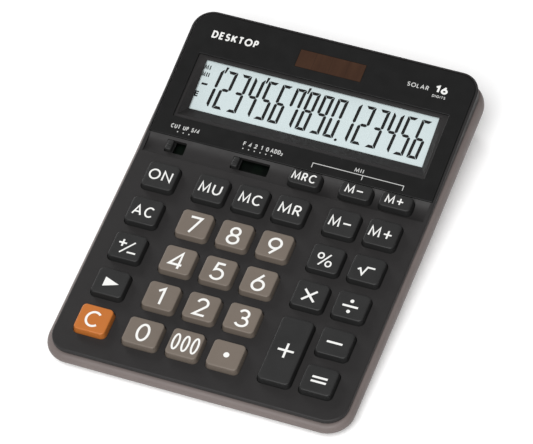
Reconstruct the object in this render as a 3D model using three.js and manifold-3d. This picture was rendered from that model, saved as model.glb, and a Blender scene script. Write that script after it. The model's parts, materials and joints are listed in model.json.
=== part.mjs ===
// Desk calculator: wedge-shaped case, sprung keys, two slide switches, inclined display.
// Millimetres, +Z up, X to the right, Y to the back. The origin is on the desk under the middle.
import * as THREE from 'three';
import { mergeVertices } from 'three/addons/utils/BufferGeometryUtils.js';
import Module from 'manifold-3d';

const wasm = await Module();
wasm.setup();

// ---- Driving dimensions: case ----
const CASE_WIDTH = 150.0; // upper case, across
const CASE_DEPTH = 203.5; // upper case, front to back
const CASE_CORNER = 10.5; // plan radius of the upper case's corners
const FRONT_HEIGHT = 11.0; // desk to the deck's front edge
const DECK_TILT = 4.5; // degrees
const PANEL_TILT = 10.05; // degrees
const LCD_TILT = 16.4; // degrees
const WALL = 1.8; // upper case wall and skin
const SEAM_FRONT = 2.4; // upper case wall visible at the front
const SEAM_REAR_TILT = 6.9; // degrees, seam behind the step
const SEAM_GAP = 0.3;
const BAND_BULGE = 2.7; // how far the lower case's rim stands out
const BAND_DROP_FRONT = 3.5; // seam to the rim's widest line, front
const BAND_DROP_REAR = 5.3; // the same, rear
const HULL_INSET = 8.0; // widest line in to the flat base
const LOWER_WALL = 1.6;
const FOOT_HEIGHT = 1.5;
const FOOT_RADIUS = 5.5;
const FOOT_SEAT = 0.5; // depth of the foot's recess

// ---- Driving dimensions: keys ----
const SIDE_MARGIN = 9.4; // case edge to the outer key caps
const GROUP_GAP = 5.45; // extra gap between key groups
const KEY_GAP_X = 3.95; // between neighbouring caps, across
const KEY_GAP_Y = 6.1; // between neighbouring caps, front to back
const FRONT_MARGIN = 10.95; // deck front edge to the first row of caps
const KEY_ROWS = 5;
const KEY_HEIGHT = 3.2; // cap top above the deck
const KEY_DRAFT = 0.5; // cap side, base to top
const KEY_CORNER = 2.6;
const KEY_BEVEL = 0.5;
const KEY_TRAVEL = 1.8;
const ZERO_EXTRA = 1.5; // the 0 key is wider to the left
const MEMORY_KEY_DEPTH = 9.4; // low keys in the step
const HOLE_CLEARANCE = 0.35;
const FLANGE_WIDTH = 0.8;
const FLANGE_THICKNESS = 0.9;

// ---- Driving dimensions: step, switches ----
const STEP_MARGIN = 5.85; // last key row to the step's front lip
const STEP_DEPTH = 11.8; // lip to the display panel
const DISPLAY_REACH = 72.75; // display panel's front edge to the case's rear edge, along the deck
const PANEL_RISE = 0.95; // panel front edge above the deck plane
const STEP_SAG = 1.7; // depth of the step's hollow below its chord
const STEP_SKIN = 1.2;
const SWITCH_PITCH = 3.0; // between the places of a switch
const KNOB_WIDTH = 3.2;
const KNOB_LENGTH = 5.9; // front to back
const KNOB_SLACK = 0.45; // slot past the knob at each end
const ROUNDING_X = 13.9; // case's left edge to the knob's first place
const ROUNDING_PLACES = 3;
const DECIMAL_X = 48.6;
const DECIMAL_PLACES = 6;

// ---- Driving dimensions: display ----
const PANEL_RIM = 1.5; // case edge to the panel
const PANEL_THICKNESS = 0.8;
const PANEL_GAP = 0.3;
const OPENING_SIDE = 8.1; // panel side to the display opening
const OPENING_FRONT = 11.2; // panel front to the display opening
const OPENING_DEPTH = 37.4;
const BEVEL_SIDE = 4.4;
const BEVEL_FRONT = 8.4;
const BEVEL_REAR = 1.9;
const RECESS_FRONT = 4.9; // how deep the window lies at its front
const TUB_WALL = 1.4;
const WINDOW_THICKNESS = 0.8;
const LCD_THICKNESS = 1.4;
const FRAME_BACK = 0.6;
const SOLAR_WIDTH = 34.4;
const SOLAR_DEPTH = 9.9;
const SOLAR_FRONT = 54.4; // panel front to the solar window

// ---- Driving dimensions: inside ----
const BOARD_THICKNESS = 1.1;
const MAT_THICKNESS = 0.7;
const DOME_MIN = 0.4; // shortest dome above the mat
const PRESS_GAP = 0.2; // left between a dome and a fully pressed key
const CELL_RADIUS = 5.8;
const CELL_HEIGHT = 5.4;
const SCREW_RADIUS = 1.1;
const FIT_GAP = 0.3;
const CORNER_STEPS = 6; // facets on a case corner
const KEY_STEPS = 2; // facets on a key corner
const ROUND_STEPS = 20;

const RAD = Math.PI / 180;
const HALF_WIDTH = CASE_WIDTH / 2;
const HALF_DEPTH = CASE_DEPTH / 2;

// ---- Finishes ----
function finish(color, roughness, metalness = 0) {
  return { color, roughness, metalness };
}
const DARK_CASE = finish(0x343132, 0.6);
const WARM_CASE = finish(0x7a706d, 0.5);
const DARK_KEY = finish(0x2d2d2d, 0.5);
const GREY_KEY = finish(0x7d7368, 0.5);
const ORANGE_KEY = finish(0xc8783c, 0.45);
const PANEL_FACE = finish(0x232323, 0.4);
const CLEAR = finish(0xdfe6e8, 0.1);
const LCD_FACE = finish(0xd6e2e4, 0.2);
const SOLAR_FACE = finish(0x50301f, 0.3);
const BOARD_FACE = finish(0x2f6b3c, 0.6);
const SOFT_RUBBER = finish(0x8d8f92, 0.9);
const FOOT_RUBBER = finish(0x1d1d1d, 0.9);
const STEEL = finish(0xb4b6b8, 0.3, 1);
const BLACK_PLASTIC = finish(0x1b1b1c, 0.6);

// ---- Frames: the deck, the panel and the display each slope more than the last ----
const root = new THREE.Group();
const deck = new THREE.Group();
deck.position.set(0, -HALF_DEPTH, FRONT_HEIGHT);
deck.rotation.x = DECK_TILT * RAD;
root.add(deck);

const FIELD_WIDTH = CASE_WIDTH - 2 * SIDE_MARGIN;
const KEY_WIDTH = (FIELD_WIDTH - 5 * KEY_GAP_X - 2 * GROUP_GAP) / 6;
const STEP_FRONT = CASE_DEPTH / Math.cos(DECK_TILT * RAD) - DISPLAY_REACH - STEP_DEPTH;
const KEY_FIELD = STEP_FRONT - FRONT_MARGIN - STEP_MARGIN;
const KEY_DEPTH = (KEY_FIELD - (KEY_ROWS - 1) * KEY_GAP_Y) / KEY_ROWS;
const ROW_PITCH = KEY_DEPTH + KEY_GAP_Y;
const PANEL_FRONT = STEP_FRONT + STEP_DEPTH;

const panel = new THREE.Group();
panel.position.set(0, PANEL_FRONT, PANEL_RISE);
panel.rotation.x = (PANEL_TILT - DECK_TILT) * RAD;
deck.add(panel);

const OPENING_WIDTH = CASE_WIDTH - 2 * PANEL_RIM - 2 * OPENING_SIDE;
const LCD_WIDTH = OPENING_WIDTH - 2 * BEVEL_SIDE;
const LCD_VIEW = (OPENING_DEPTH - BEVEL_FRONT - BEVEL_REAR) / Math.cos((LCD_TILT - PANEL_TILT) * RAD);
const display = new THREE.Group();
display.position.set(0, OPENING_FRONT + BEVEL_FRONT, -RECESS_FRONT);
display.rotation.x = (LCD_TILT - PANEL_TILT) * RAD;
panel.add(display);
root.updateMatrixWorld(true);

function at(frame, x, v, w) {
  return new THREE.Vector3(x, v, w).applyMatrix4(frame.matrixWorld);
}

// Height of a frame's sloping face above the desk at depth y.
function faceHeight(frame, y, w = 0) {
  const low = at(frame, 0, 0, w);
  const high = at(frame, 0, 1, w);
  return low.z + ((y - low.y) * (high.z - low.z)) / (high.y - low.y);
}

const STEP_Y = at(deck, 0, STEP_FRONT, 0).y;
const PANEL_Y = at(panel, 0, 0, 0).y;
const PANEL_LENGTH = (HALF_DEPTH - PANEL_Y) / Math.cos(PANEL_TILT * RAD);

// ---- Geometry helpers ----
// Points of a rounded rectangle, anticlockwise, centred on (x, y).
function roundedRect(width, depth, radius, steps, x = 0, y = 0) {
  const points = [];
  const centres = [[1, 1], [-1, 1], [-1, -1], [1, -1]];
  centres.forEach(([sx, sy], corner) => {
    for (let i = 0; i <= steps; i += 1) {
      const angle = (corner + i / steps) * 90 * RAD;
      const px = x + sx * (width / 2 - radius) + radius * Math.cos(angle);
      const py = y + sy * (depth / 2 - radius) + radius * Math.sin(angle);
      points.push([px, py]);
    }
  });
  return points;
}

function circlePoints(radius, steps = ROUND_STEPS, x = 0, y = 0) {
  const points = [];
  for (let i = 0; i < steps; i += 1) {
    const angle = (i / steps) * 360 * RAD;
    points.push([x + radius * Math.cos(angle), y + radius * Math.sin(angle)]);
  }
  return points;
}

function ringAt(points, height) {
  return points.map(([x, y]) => {
    const z = typeof height === 'function' ? height(y) : height;
    return new THREE.Vector3(x, y, z);
  });
}

// Closed skin over rings of equal point count, from the lowest cap to the last cap.
function loft(rings) {
  const count = rings[0].length;
  const positions = rings.flat().flatMap((p) => [p.x, p.y, p.z]);
  const index = [];
  for (let r = 0; r + 1 < rings.length; r += 1) {
    for (let i = 0; i < count; i += 1) {
      const a = r * count + i;
      const b = r * count + ((i + 1) % count);
      index.push(a, b, b + count, a, b + count, a + count);
    }
  }
  const last = (rings.length - 1) * count;
  for (let i = 1; i + 1 < count; i += 1) {
    index.push(0, i + 1, i, last, last + i, last + i + 1);
  }
  const geometry = new THREE.BufferGeometry();
  geometry.setAttribute('position', new THREE.Float32BufferAttribute(positions, 3));
  geometry.setIndex(index);
  return geometry;
}

function prism(points, low, high) {
  return loft([ringAt(points, low), ringAt(points, high)]);
}

function slab(width, depth, low, high, x = 0, y = 0) {
  const geometry = new THREE.BoxGeometry(width, depth, high - low);
  return geometry.translate(x, y, (low + high) / 2);
}

// A side profile of [y, z] points, extruded across the case.
function acrossProfile(points, width) {
  const shape = new THREE.Shape(points.map(([y, z]) => new THREE.Vector2(y, z)));
  const geometry = new THREE.ExtrudeGeometry(shape, { depth: width, bevelEnabled: false });
  geometry.applyMatrix4(new THREE.Matrix4().set(0, 0, 1, -width / 2, 1, 0, 0, 0, 0, 1, 0, 0, 0, 0, 0, 1));
  return geometry;
}

function placed(geometry, frame) {
  return geometry.applyMatrix4(frame.matrixWorld);
}

function solid(geometry) {
  const bare = geometry.clone();
  bare.deleteAttribute('normal');
  bare.deleteAttribute('uv');
  const merged = mergeVertices(bare, 1e-4);
  return new wasm.Manifold(
    new wasm.Mesh({
      numProp: 3,
      vertProperties: new Float32Array(merged.attributes.position.array),
      triVerts: new Uint32Array(merged.index.array),
    }),
  );
}

function skin(manifold) {
  const mesh = manifold.getMesh();
  const geometry = new THREE.BufferGeometry();
  geometry.setAttribute('position', new THREE.Float32BufferAttribute(mesh.vertProperties, 3));
  geometry.setIndex(Array.from(mesh.triVerts));
  return geometry;
}

function cut(body, ...tools) {
  return tools.reduce((rest, tool) => rest.subtract(solid(tool)), body);
}

function join(body, ...pieces) {
  return pieces.reduce((sum, piece) => sum.add(solid(piece)), body);
}

function addNode(parent, name, geometry, look) {
  geometry.computeVertexNormals();
  const mesh = new THREE.Mesh(geometry, new THREE.MeshStandardMaterial(look));
  mesh.name = name;
  parent.add(mesh);
  return mesh;
}

// ---- Key layout, in the deck's frame ----
function columnX(column) {
  const groupGaps = (column > 0 ? 1 : 0) + (column > 3 ? 1 : 0);
  return -FIELD_WIDTH / 2 + KEY_WIDTH / 2 + column * (KEY_WIDTH + KEY_GAP_X) + groupGaps * GROUP_GAP;
}

function rowV(row) {
  return FRONT_MARGIN + KEY_DEPTH / 2 + row * ROW_PITCH;
}

const KEY_GRID = [
  ['key_c', 'key_0', 'key_000', 'key_decimal', null, 'key_equals'],
  ['key_backspace', 'key_1', 'key_2', 'key_3', null, 'key_minus'],
  ['key_sign', 'key_4', 'key_5', 'key_6', 'key_multiply', 'key_divide'],
  ['key_ac', 'key_7', 'key_8', 'key_9', 'key_percent', 'key_root'],
  ['key_on', 'key_mu', 'key_mc', 'key_mr', 'key_m_minus', 'key_m_plus'],
];
const MEMORY_KEYS = ['key_second_mrc', 'key_second_m_minus', 'key_second_m_plus'];
const MEMORY_KEY_V = STEP_FRONT + 1.2 + MEMORY_KEY_DEPTH / 2;

function keyLook(name, row, column) {
  if (name === 'key_c') return ORANGE_KEY;
  return row < 4 && column >= 1 && column <= 3 ? GREY_KEY : DARK_KEY;
}

function listKeys() {
  const keys = [];
  KEY_GRID.forEach((names, row) => {
    names.forEach((name, column) => {
      if (!name) return;
      const extra = name === 'key_0' ? ZERO_EXTRA : 0;
      const x = columnX(column) - extra / 2;
      const look = keyLook(name, row, column);
      keys.push({ name, x, v: rowV(row), width: KEY_WIDTH + extra, depth: KEY_DEPTH, look });
    });
  });
  const plusDepth = KEY_DEPTH + ROW_PITCH;
  const plusV = (rowV(0) + rowV(1)) / 2;
  const plus = { x: columnX(4), v: plusV, width: KEY_WIDTH, depth: plusDepth };
  keys.push({ name: 'key_plus', ...plus, look: DARK_KEY });
  MEMORY_KEYS.forEach((name, i) => {
    const place = { x: columnX(3 + i), v: MEMORY_KEY_V, width: KEY_WIDTH, depth: MEMORY_KEY_DEPTH };
    keys.push({ name, ...place, look: DARK_KEY, inStep: true });
  });
  return keys;
}
const KEYS = listKeys();

// Heights below the deck's outer face, in its frame.
const STEP_CEILING = -(STEP_SAG - PANEL_RISE / 2) - STEP_SKIN; // under the hollow's lowest line
const KEY_STACK = FIT_GAP + FLANGE_THICKNESS + KEY_TRAVEL + PRESS_GAP;
const DOME_TOP = -WALL - KEY_STACK;
const STEP_DOME_TOP = STEP_CEILING - KEY_STACK;
const MAT_TOP = STEP_DOME_TOP - DOME_MIN;
const BOARD_TOP = MAT_TOP - MAT_THICKNESS - FIT_GAP;

function keyGeometry(key) {
  const ceiling = key.inStep ? STEP_CEILING : -WALL;
  const flangeTop = ceiling - FIT_GAP;
  const outline = (grow) => roundedRect(
    key.width + 2 * grow,
    key.depth + 2 * grow,
    KEY_CORNER + Math.min(grow, 0),
    KEY_STEPS,
  );
  const flange = HOLE_CLEARANCE + FLANGE_WIDTH;
  return loft([
    ringAt(outline(flange), flangeTop - FLANGE_THICKNESS),
    ringAt(outline(flange), flangeTop),
    ringAt(outline(0), flangeTop),
    ringAt(outline(0), 0),
    ringAt(outline(-KEY_DRAFT), KEY_HEIGHT - KEY_BEVEL),
    ringAt(outline(-KEY_DRAFT - KEY_BEVEL), KEY_HEIGHT),
  ]);
}

function keyHole(key) {
  const width = key.width + 2 * HOLE_CLEARANCE;
  const depth = key.depth + 2 * HOLE_CLEARANCE;
  const points = roundedRect(width, depth, KEY_CORNER, KEY_STEPS, key.x, key.v);
  return placed(prism(points, -9, 3), deck);
}

// ---- Step, switch slots ----
// Round hollow from the deck's lip up to the panel's front edge, as [v, w] in the deck's frame.
function stepArc(steps) {
  const chord = Math.hypot(STEP_DEPTH, PANEL_RISE);
  const radius = (chord * chord / 4 + STEP_SAG * STEP_SAG) / (2 * STEP_SAG);
  const tilt = Math.atan2(PANEL_RISE, STEP_DEPTH);
  const half = Math.asin(chord / 2 / radius);
  const centreV = STEP_FRONT + STEP_DEPTH / 2 - (radius - STEP_SAG) * Math.sin(tilt);
  const centreW = PANEL_RISE / 2 + (radius - STEP_SAG) * Math.cos(tilt);
  const points = [];
  for (let i = 0; i <= steps; i += 1) {
    const angle = tilt - half + (2 * half * i) / steps;
    points.push([centreV + radius * Math.sin(angle), centreW - radius * Math.cos(angle)]);
  }
  return points;
}

const STEP_STEPS = 6;
const STEP_WIDTH = CASE_WIDTH - 2 * (WALL + FIT_GAP);

function stepCutter() {
  const arc = stepArc(STEP_STEPS);
  const lid = 3;
  const profile = [...arc, [PANEL_FRONT, lid], [STEP_FRONT, lid]];
  return placed(acrossProfile(profile, STEP_WIDTH), deck);
}

const SWITCH_V = STEP_FRONT + STEP_DEPTH * 0.57;

function slotCutter(leftX, places) {
  const travel = (places - 1) * SWITCH_PITCH;
  const width = KNOB_WIDTH + travel + 2 * KNOB_SLACK;
  const x = -HALF_WIDTH + leftX + travel / 2;
  return placed(slab(width, KNOB_LENGTH + 2 * KNOB_SLACK, -9, 3, x, SWITCH_V), deck);
}

const SLIDER_TOP = STEP_CEILING - FIT_GAP;
const SLIDER_THICKNESS = 1.0;
const SLIDER_MARGIN = 1.2; // slider plate past the slot, front and back
const KNOB_TOP = 1.1;

function knobGeometry() {
  const plateWidth = KNOB_WIDTH + 2 * FIT_GAP;
  const plateDepth = KNOB_LENGTH + 2 * (KNOB_SLACK + SLIDER_MARGIN);
  let body = solid(slab(plateWidth, plateDepth, SLIDER_TOP - SLIDER_THICKNESS, SLIDER_TOP));
  const crown = [
    ringAt(roundedRect(KNOB_WIDTH, KNOB_LENGTH, 0.8, KEY_STEPS), SLIDER_TOP - 0.2),
    ringAt(roundedRect(KNOB_WIDTH, KNOB_LENGTH, 0.8, KEY_STEPS), KNOB_TOP - 0.7),
    ringAt(roundedRect(KNOB_WIDTH - 1, KNOB_LENGTH - 1, 0.5, KEY_STEPS), KNOB_TOP),
  ];
  body = join(body, loft(crown));
  return skin(body);
}

const WIPER_WIDTH = 2.0;

function wiperGeometry() {
  const top = SLIDER_TOP - SLIDER_THICKNESS - FIT_GAP;
  const bottom = BOARD_TOP + FIT_GAP;
  const plate = solid(slab(WIPER_WIDTH, KNOB_LENGTH, top - 0.4, top));
  const leg = slab(WIPER_WIDTH, 0.6, bottom, top - 0.2, 0, KNOB_LENGTH / 4);
  const otherLeg = slab(WIPER_WIDTH, 0.6, bottom, top - 0.2, 0, -KNOB_LENGTH / 4);
  return skin(join(plate, leg, otherLeg));
}

// ---- Case heights ----
const SEAM_BREAK_Z = faceHeight(deck, STEP_Y) - SEAM_FRONT;
function seamHeight(y) {
  if (y < STEP_Y) return faceHeight(deck, y) - SEAM_FRONT;
  return SEAM_BREAK_Z + (y - STEP_Y) * Math.tan(SEAM_REAR_TILT * RAD);
}

function caseOutline(grow, steps = CORNER_STEPS) {
  const radius = Math.max(CASE_CORNER + grow, 1.5);
  const corners = roundedRect(CASE_WIDTH + 2 * grow, CASE_DEPTH + 2 * grow, radius, steps);
  return withSideBreaks(corners);
}

// Adds one point on each long side where the seam changes slope.
function withSideBreaks(points) {
  const result = [];
  points.forEach((point, i) => {
    const next = points[(i + 1) % points.length];
    result.push(point);
    if ((point[1] - STEP_Y) * (next[1] - STEP_Y) < 0) result.push([point[0], STEP_Y]);
  });
  return result;
}

// Where the panel's slope, carried forward along the side rims, meets the deck.
const MEET_Y = at(deck, 0, PANEL_FRONT - PANEL_RISE / Math.tan((PANEL_TILT - DECK_TILT) * RAD), 0).y;

// Side profile of the upper case's outside, as [y, z], from the seam up to the deck and panel slopes.
function outerProfile() {
  const front = -HALF_DEPTH - 1;
  const rear = HALF_DEPTH + 1;
  const seam = [front, STEP_Y, rear].map((y) => [y, seamHeight(y) + SEAM_GAP / 2]);
  const meet = [MEET_Y, faceHeight(deck, MEET_Y)];
  return [...seam, [rear, faceHeight(panel, rear)], meet, [front, faceHeight(deck, front)]];
}

const PANEL_SKIN = PANEL_THICKNESS + PANEL_GAP + WALL;

// Side profile of the room inside, as [y, z], under the deck's, step's and panel's skins.
function roomProfile() {
  const stepFront = at(deck, 0, STEP_FRONT - WALL, STEP_CEILING);
  const stepRear = at(deck, 0, PANEL_FRONT + WALL, STEP_CEILING);
  return [
    [-HALF_DEPTH, -1],
    [HALF_DEPTH, -1],
    [HALF_DEPTH, faceHeight(panel, HALF_DEPTH, -PANEL_SKIN)],
    [stepRear.y, faceHeight(panel, stepRear.y, -PANEL_SKIN)],
    [stepRear.y, stepRear.z],
    [stepFront.y, stepFront.z],
    [stepFront.y, faceHeight(deck, stepFront.y, -WALL)],
    [-HALF_DEPTH, faceHeight(deck, -HALF_DEPTH, -WALL)],
  ];
}

// ---- Display recess ----
// Tapered well from the panel opening down to the display view, thicker by a wall when grown.
function well(grow) {
  const topHalf = OPENING_WIDTH / 2 + grow;
  const lowHalf = LCD_WIDTH / 2 + grow;
  const corners = [-1, 1].flatMap((side) => [
    at(panel, side * topHalf, OPENING_FRONT - grow, 0),
    at(panel, side * topHalf, OPENING_FRONT + OPENING_DEPTH + grow, 0),
    at(display, side * lowHalf, -grow, 0),
    at(display, side * lowHalf, LCD_VIEW + grow, 0),
  ]);
  return wasm.Manifold.hull(corners.map((corner) => corner.toArray()));
}

// ---- Case shells ----
const BOSS_RADIUS = 2.8;
const SCREW_HEAD_RADIUS = 2.5;
const WELL_RADIUS = 4.2;
const FRONT_SCREW_Y = at(deck, 0, rowV(1), BOARD_TOP).y;
const SCREW_PLACES = [
  { name: 'case_screw_front_left', x: (columnX(0) + columnX(1)) / 2, y: FRONT_SCREW_Y },
  { name: 'case_screw_front_right', x: (columnX(3) + columnX(4)) / 2, y: FRONT_SCREW_Y },
  { name: 'case_screw_rear_left', x: -HALF_WIDTH + 14, y: HALF_DEPTH - 13 },
  { name: 'case_screw_rear_right', x: HALF_WIDTH - 14, y: HALF_DEPTH - 13 },
];
const FLOOR_LOW = FOOT_HEIGHT;
const FLOOR_TOP = FOOT_HEIGHT + LOWER_WALL;
const SCREW_WELL_TOP = FLOOR_TOP + 2.6;

function bossCeiling(y) {
  return y < STEP_Y ? faceHeight(deck, y, -WALL / 2) : faceHeight(panel, y, WALL / 2 - PANEL_SKIN);
}

function upperCase() {
  const outside = solid(prism(caseOutline(0), -1, 60));
  const room = solid(prism(caseOutline(-WALL), -2, 60));
  let body = outside.intersect(solid(acrossProfile(outerProfile(), CASE_WIDTH + 2)));
  body = body.subtract(room.intersect(solid(acrossProfile(roomProfile(), CASE_WIDTH))));
  body = cut(body, placed(aroundView(FRAME_MARGIN + FIT_GAP, -30, 0), display));
  body = body.add(well(TUB_WALL));
  SCREW_PLACES.forEach(({ x, y }) => {
    const boss = circlePoints(BOSS_RADIUS, ROUND_STEPS / 2, x, y);
    body = join(body, prism(boss, SCREW_WELL_TOP + FIT_GAP, bossCeiling(y)));
  });
  SCREW_PLACES.forEach(({ x, y }) => {
    const depth = Math.min(7, bossCeiling(y) - SCREW_WELL_TOP - 0.6);
    const pilot = circlePoints(SCREW_RADIUS + FIT_GAP, ROUND_STEPS / 2, x, y);
    body = cut(body, prism(pilot, SCREW_WELL_TOP - 1, SCREW_WELL_TOP + depth));
  });
  body = body.subtract(well(0));
  body = cut(body, placed(aroundView(0, -1, 0.05), display), panelSeat(), solarHole(), stepCutter());
  body = cut(body, slotCutter(ROUNDING_X, ROUNDING_PLACES), slotCutter(DECIMAL_X, DECIMAL_PLACES));
  body = cut(body, ...KEYS.map(keyHole));
  return skin(body);
}

function panelOutline(gap) {
  const width = CASE_WIDTH - 2 * PANEL_RIM + 2 * gap;
  const low = -gap;
  const high = PANEL_LENGTH - PANEL_RIM + gap;
  const corner = CASE_CORNER - PANEL_RIM;
  const full = roundedRect(width, 2 * (high - low), corner, CORNER_STEPS, 0, low);
  const rear = full.filter(([, v]) => v > low);
  return [...rear, [-width / 2, low], [width / 2, low]];
}

function panelSeat() {
  return placed(prism(panelOutline(PANEL_GAP), -PANEL_THICKNESS - PANEL_GAP, 3), panel);
}

function displayPanel() {
  const openingV = OPENING_FRONT + OPENING_DEPTH / 2;
  const opening = slab(OPENING_WIDTH, OPENING_DEPTH, -3, 3, 0, openingV);
  const solar = slab(SOLAR_WIDTH + 2 * FIT_GAP, SOLAR_DEPTH + 2 * FIT_GAP, -3, 3, 0, SOLAR_V);
  return skin(cut(solid(prism(panelOutline(0), -PANEL_THICKNESS, 0)), opening, solar));
}

const SOLAR_V = SOLAR_FRONT + SOLAR_DEPTH / 2;
const CELL_MARGIN = 1.0; // solar cell past its window
function solarHole() {
  const grow = 2 * (CELL_MARGIN + FIT_GAP);
  return placed(slab(SOLAR_WIDTH + grow, SOLAR_DEPTH + grow, -9, 3, 0, SOLAR_V), panel);
}

// Rim height of the lower case, measured down from the seam, growing towards the back.
function below(front, rear) {
  return (y) => {
    const share = (y + HALF_DEPTH) / CASE_DEPTH;
    return seamHeight(y) - front - (rear - front) * share;
  };
}

const TONGUE_GAP = 0.4;
const TONGUE_WALL = 1.0;
const TONGUE_HEIGHT = -0.35;
const BATTERY_X = -28;
const BATTERY_Y = HALF_DEPTH - 34;
const COVER_WIDTH = 30;
const COVER_DEPTH = 20;
const COVER_SCREW_X = BATTERY_X + COVER_WIDTH / 2 - 5;

function lowerCase() {
  const bulge = BAND_BULGE;
  const turnIn = (y) => Math.max(below(4.6, 9)(y), FLOOR_LOW + 1.1);
  const inside = -WALL - TONGUE_GAP;
  const rings = [
    ringAt(caseOutline(bulge - HULL_INSET), FLOOR_LOW),
    ringAt(caseOutline(bulge - HULL_INSET + 1.2), FLOOR_LOW + 0.4),
    ringAt(caseOutline(bulge - 0.9), turnIn),
    ringAt(caseOutline(bulge), below(BAND_DROP_FRONT, BAND_DROP_REAR)),
    ringAt(caseOutline(bulge * 0.86), below(BAND_DROP_FRONT * 0.45, BAND_DROP_REAR * 0.45)),
    ringAt(caseOutline(bulge * 0.5), below(0.45, 0.5)),
    ringAt(caseOutline(0), (y) => seamHeight(y) - SEAM_GAP / 2),
    ringAt(caseOutline(inside), (y) => seamHeight(y) - SEAM_GAP / 2),
    ringAt(caseOutline(inside), (y) => seamHeight(y) + TONGUE_HEIGHT),
    ringAt(caseOutline(inside - TONGUE_WALL), (y) => seamHeight(y) + TONGUE_HEIGHT),
    ringAt(caseOutline(inside - TONGUE_WALL), below(BAND_DROP_FRONT * 0.9, BAND_DROP_REAR)),
    ringAt(caseOutline(bulge - HULL_INSET - LOWER_WALL + 0.6), FLOOR_TOP),
  ];
  let body = solid(loft(rings));
  SCREW_PLACES.forEach(({ x, y }) => {
    body = join(body, prism(circlePoints(WELL_RADIUS, ROUND_STEPS, x, y), FLOOR_LOW + 0.3, SCREW_WELL_TOP));
  });
  SCREW_PLACES.forEach(({ x, y }) => {
    const headBore = circlePoints(SCREW_HEAD_RADIUS + FIT_GAP, ROUND_STEPS, x, y);
    const shankBore = circlePoints(SCREW_RADIUS + FIT_GAP, ROUND_STEPS / 2, x, y);
    body = cut(body, prism(headBore, -1, SCREW_WELL_TOP - 1.2), prism(shankBore, -1, SCREW_WELL_TOP + 1));
  });
  FOOT_PLACES.forEach(({ x, y }) => {
    const seat = circlePoints(FOOT_RADIUS + FIT_GAP, ROUND_STEPS, x, y);
    body = cut(body, prism(seat, -1, FOOT_HEIGHT + FOOT_SEAT));
  });
  body = cut(body, slab(COVER_WIDTH, COVER_DEPTH, -1, FLOOR_TOP + 1, BATTERY_X, BATTERY_Y));
  return skin(join(body, ...batteryHolder()));
}

// ---- Underside ----
const FOOT_PLACES = [
  { name: 'foot_front_left', x: -HALF_WIDTH + 20, y: -HALF_DEPTH + 16 },
  { name: 'foot_front_right', x: HALF_WIDTH - 20, y: -HALF_DEPTH + 16 },
  { name: 'foot_rear_left', x: -HALF_WIDTH + 28, y: HALF_DEPTH - 15 },
  { name: 'foot_rear_right', x: HALF_WIDTH - 28, y: HALF_DEPTH - 15 },
];

function footGeometry() {
  return loft([
    ringAt(circlePoints(FOOT_RADIUS - 0.5), 0),
    ringAt(circlePoints(FOOT_RADIUS), 0.5),
    ringAt(circlePoints(FOOT_RADIUS), FOOT_HEIGHT + FOOT_SEAT - 0.2),
  ]);
}

// Cross-head screw, head down, its head's face at z = 0.
function screwGeometry(length) {
  const head = solid(prism(circlePoints(SCREW_HEAD_RADIUS, ROUND_STEPS / 2), 0, 1.4));
  const shank = prism(circlePoints(SCREW_RADIUS, ROUND_STEPS / 2), 1.2, length);
  const slot = slab(2.6, 0.6, -1, 0.7);
  const crossSlot = slab(0.6, 2.6, -1, 0.7);
  return skin(cut(join(head, shank), slot, crossSlot));
}

const CELL_WALL = 1.2;
const CLIP_THICKNESS = 0.4;
const CELL_LOW = FLOOR_TOP + 0.6;
const HOLDER_HALF = CELL_RADIUS + FIT_GAP + CLIP_THICKNESS + FIT_GAP;
const CELL_X = BATTERY_X - 5;
const CLIP_ROOM = 1.6; // open space above the battery's cover side

// Two upright walls beside the battery, standing on the floor past the cover's opening.
function batteryHolder() {
  const height = CELL_LOW + CELL_HEIGHT;
  return [-1, 1].map((side) => {
    const y = BATTERY_Y + side * (COVER_DEPTH / 2 + CELL_WALL / 2 + 0.2);
    return slab(2 * HOLDER_HALF, CELL_WALL, FLOOR_LOW + 0.3, height, CELL_X, y);
  });
}

function batteryCover() {
  const width = COVER_WIDTH - 2 * FIT_GAP;
  const depth = COVER_DEPTH - 2 * FIT_GAP;
  const plate = slab(width, depth, FLOOR_LOW, FLOOR_TOP, BATTERY_X, BATTERY_Y);
  const head = circlePoints(SCREW_HEAD_RADIUS + FIT_GAP, ROUND_STEPS, COVER_SCREW_X, BATTERY_Y);
  const shank = circlePoints(SCREW_RADIUS + FIT_GAP, ROUND_STEPS / 2, COVER_SCREW_X, BATTERY_Y);
  return skin(cut(solid(plate), prism(head, -1, FLOOR_LOW + 1), prism(shank, -1, FLOOR_TOP + 1)));
}

function contactSide() {
  const x = CELL_X - CELL_RADIUS - FIT_GAP - CLIP_THICKNESS / 2;
  const top = CELL_LOW + CELL_HEIGHT + CLIP_ROOM;
  const upright = slab(CLIP_THICKNESS, 7, CELL_LOW, top, x, BATTERY_Y);
  const tab = slab(6, 7, top - CLIP_THICKNESS, top, x - 3 + CLIP_THICKNESS / 2, BATTERY_Y);
  return skin(join(solid(upright), tab));
}

function contactTop() {
  const low = CELL_LOW + CELL_HEIGHT + FIT_GAP;
  const reach = CELL_RADIUS + 8;
  const end = CELL_X + reach - 3;
  const strip = slab(reach, 4, low, low + CLIP_THICKNESS, end - reach / 2, BATTERY_Y);
  const bend = slab(CLIP_THICKNESS, 4, low, low + CLIP_ROOM, end - CLIP_THICKNESS / 2, BATTERY_Y);
  return skin(join(solid(strip), bend));
}

// ---- Display pieces, in the display's frame ----
const WINDOW_MARGIN = 1.6; // window past the view, under the well's rim
const LCD_TOP = -2 * FIT_GAP - WINDOW_THICKNESS;
const LCD_MARGIN = 2.6;
const FRAME_MARGIN = LCD_MARGIN + FIT_GAP + 1.2;

function aroundView(margin, low, high) {
  return slab(LCD_WIDTH + 2 * margin, LCD_VIEW + 2 * margin, low, high, 0, LCD_VIEW / 2);
}

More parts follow.
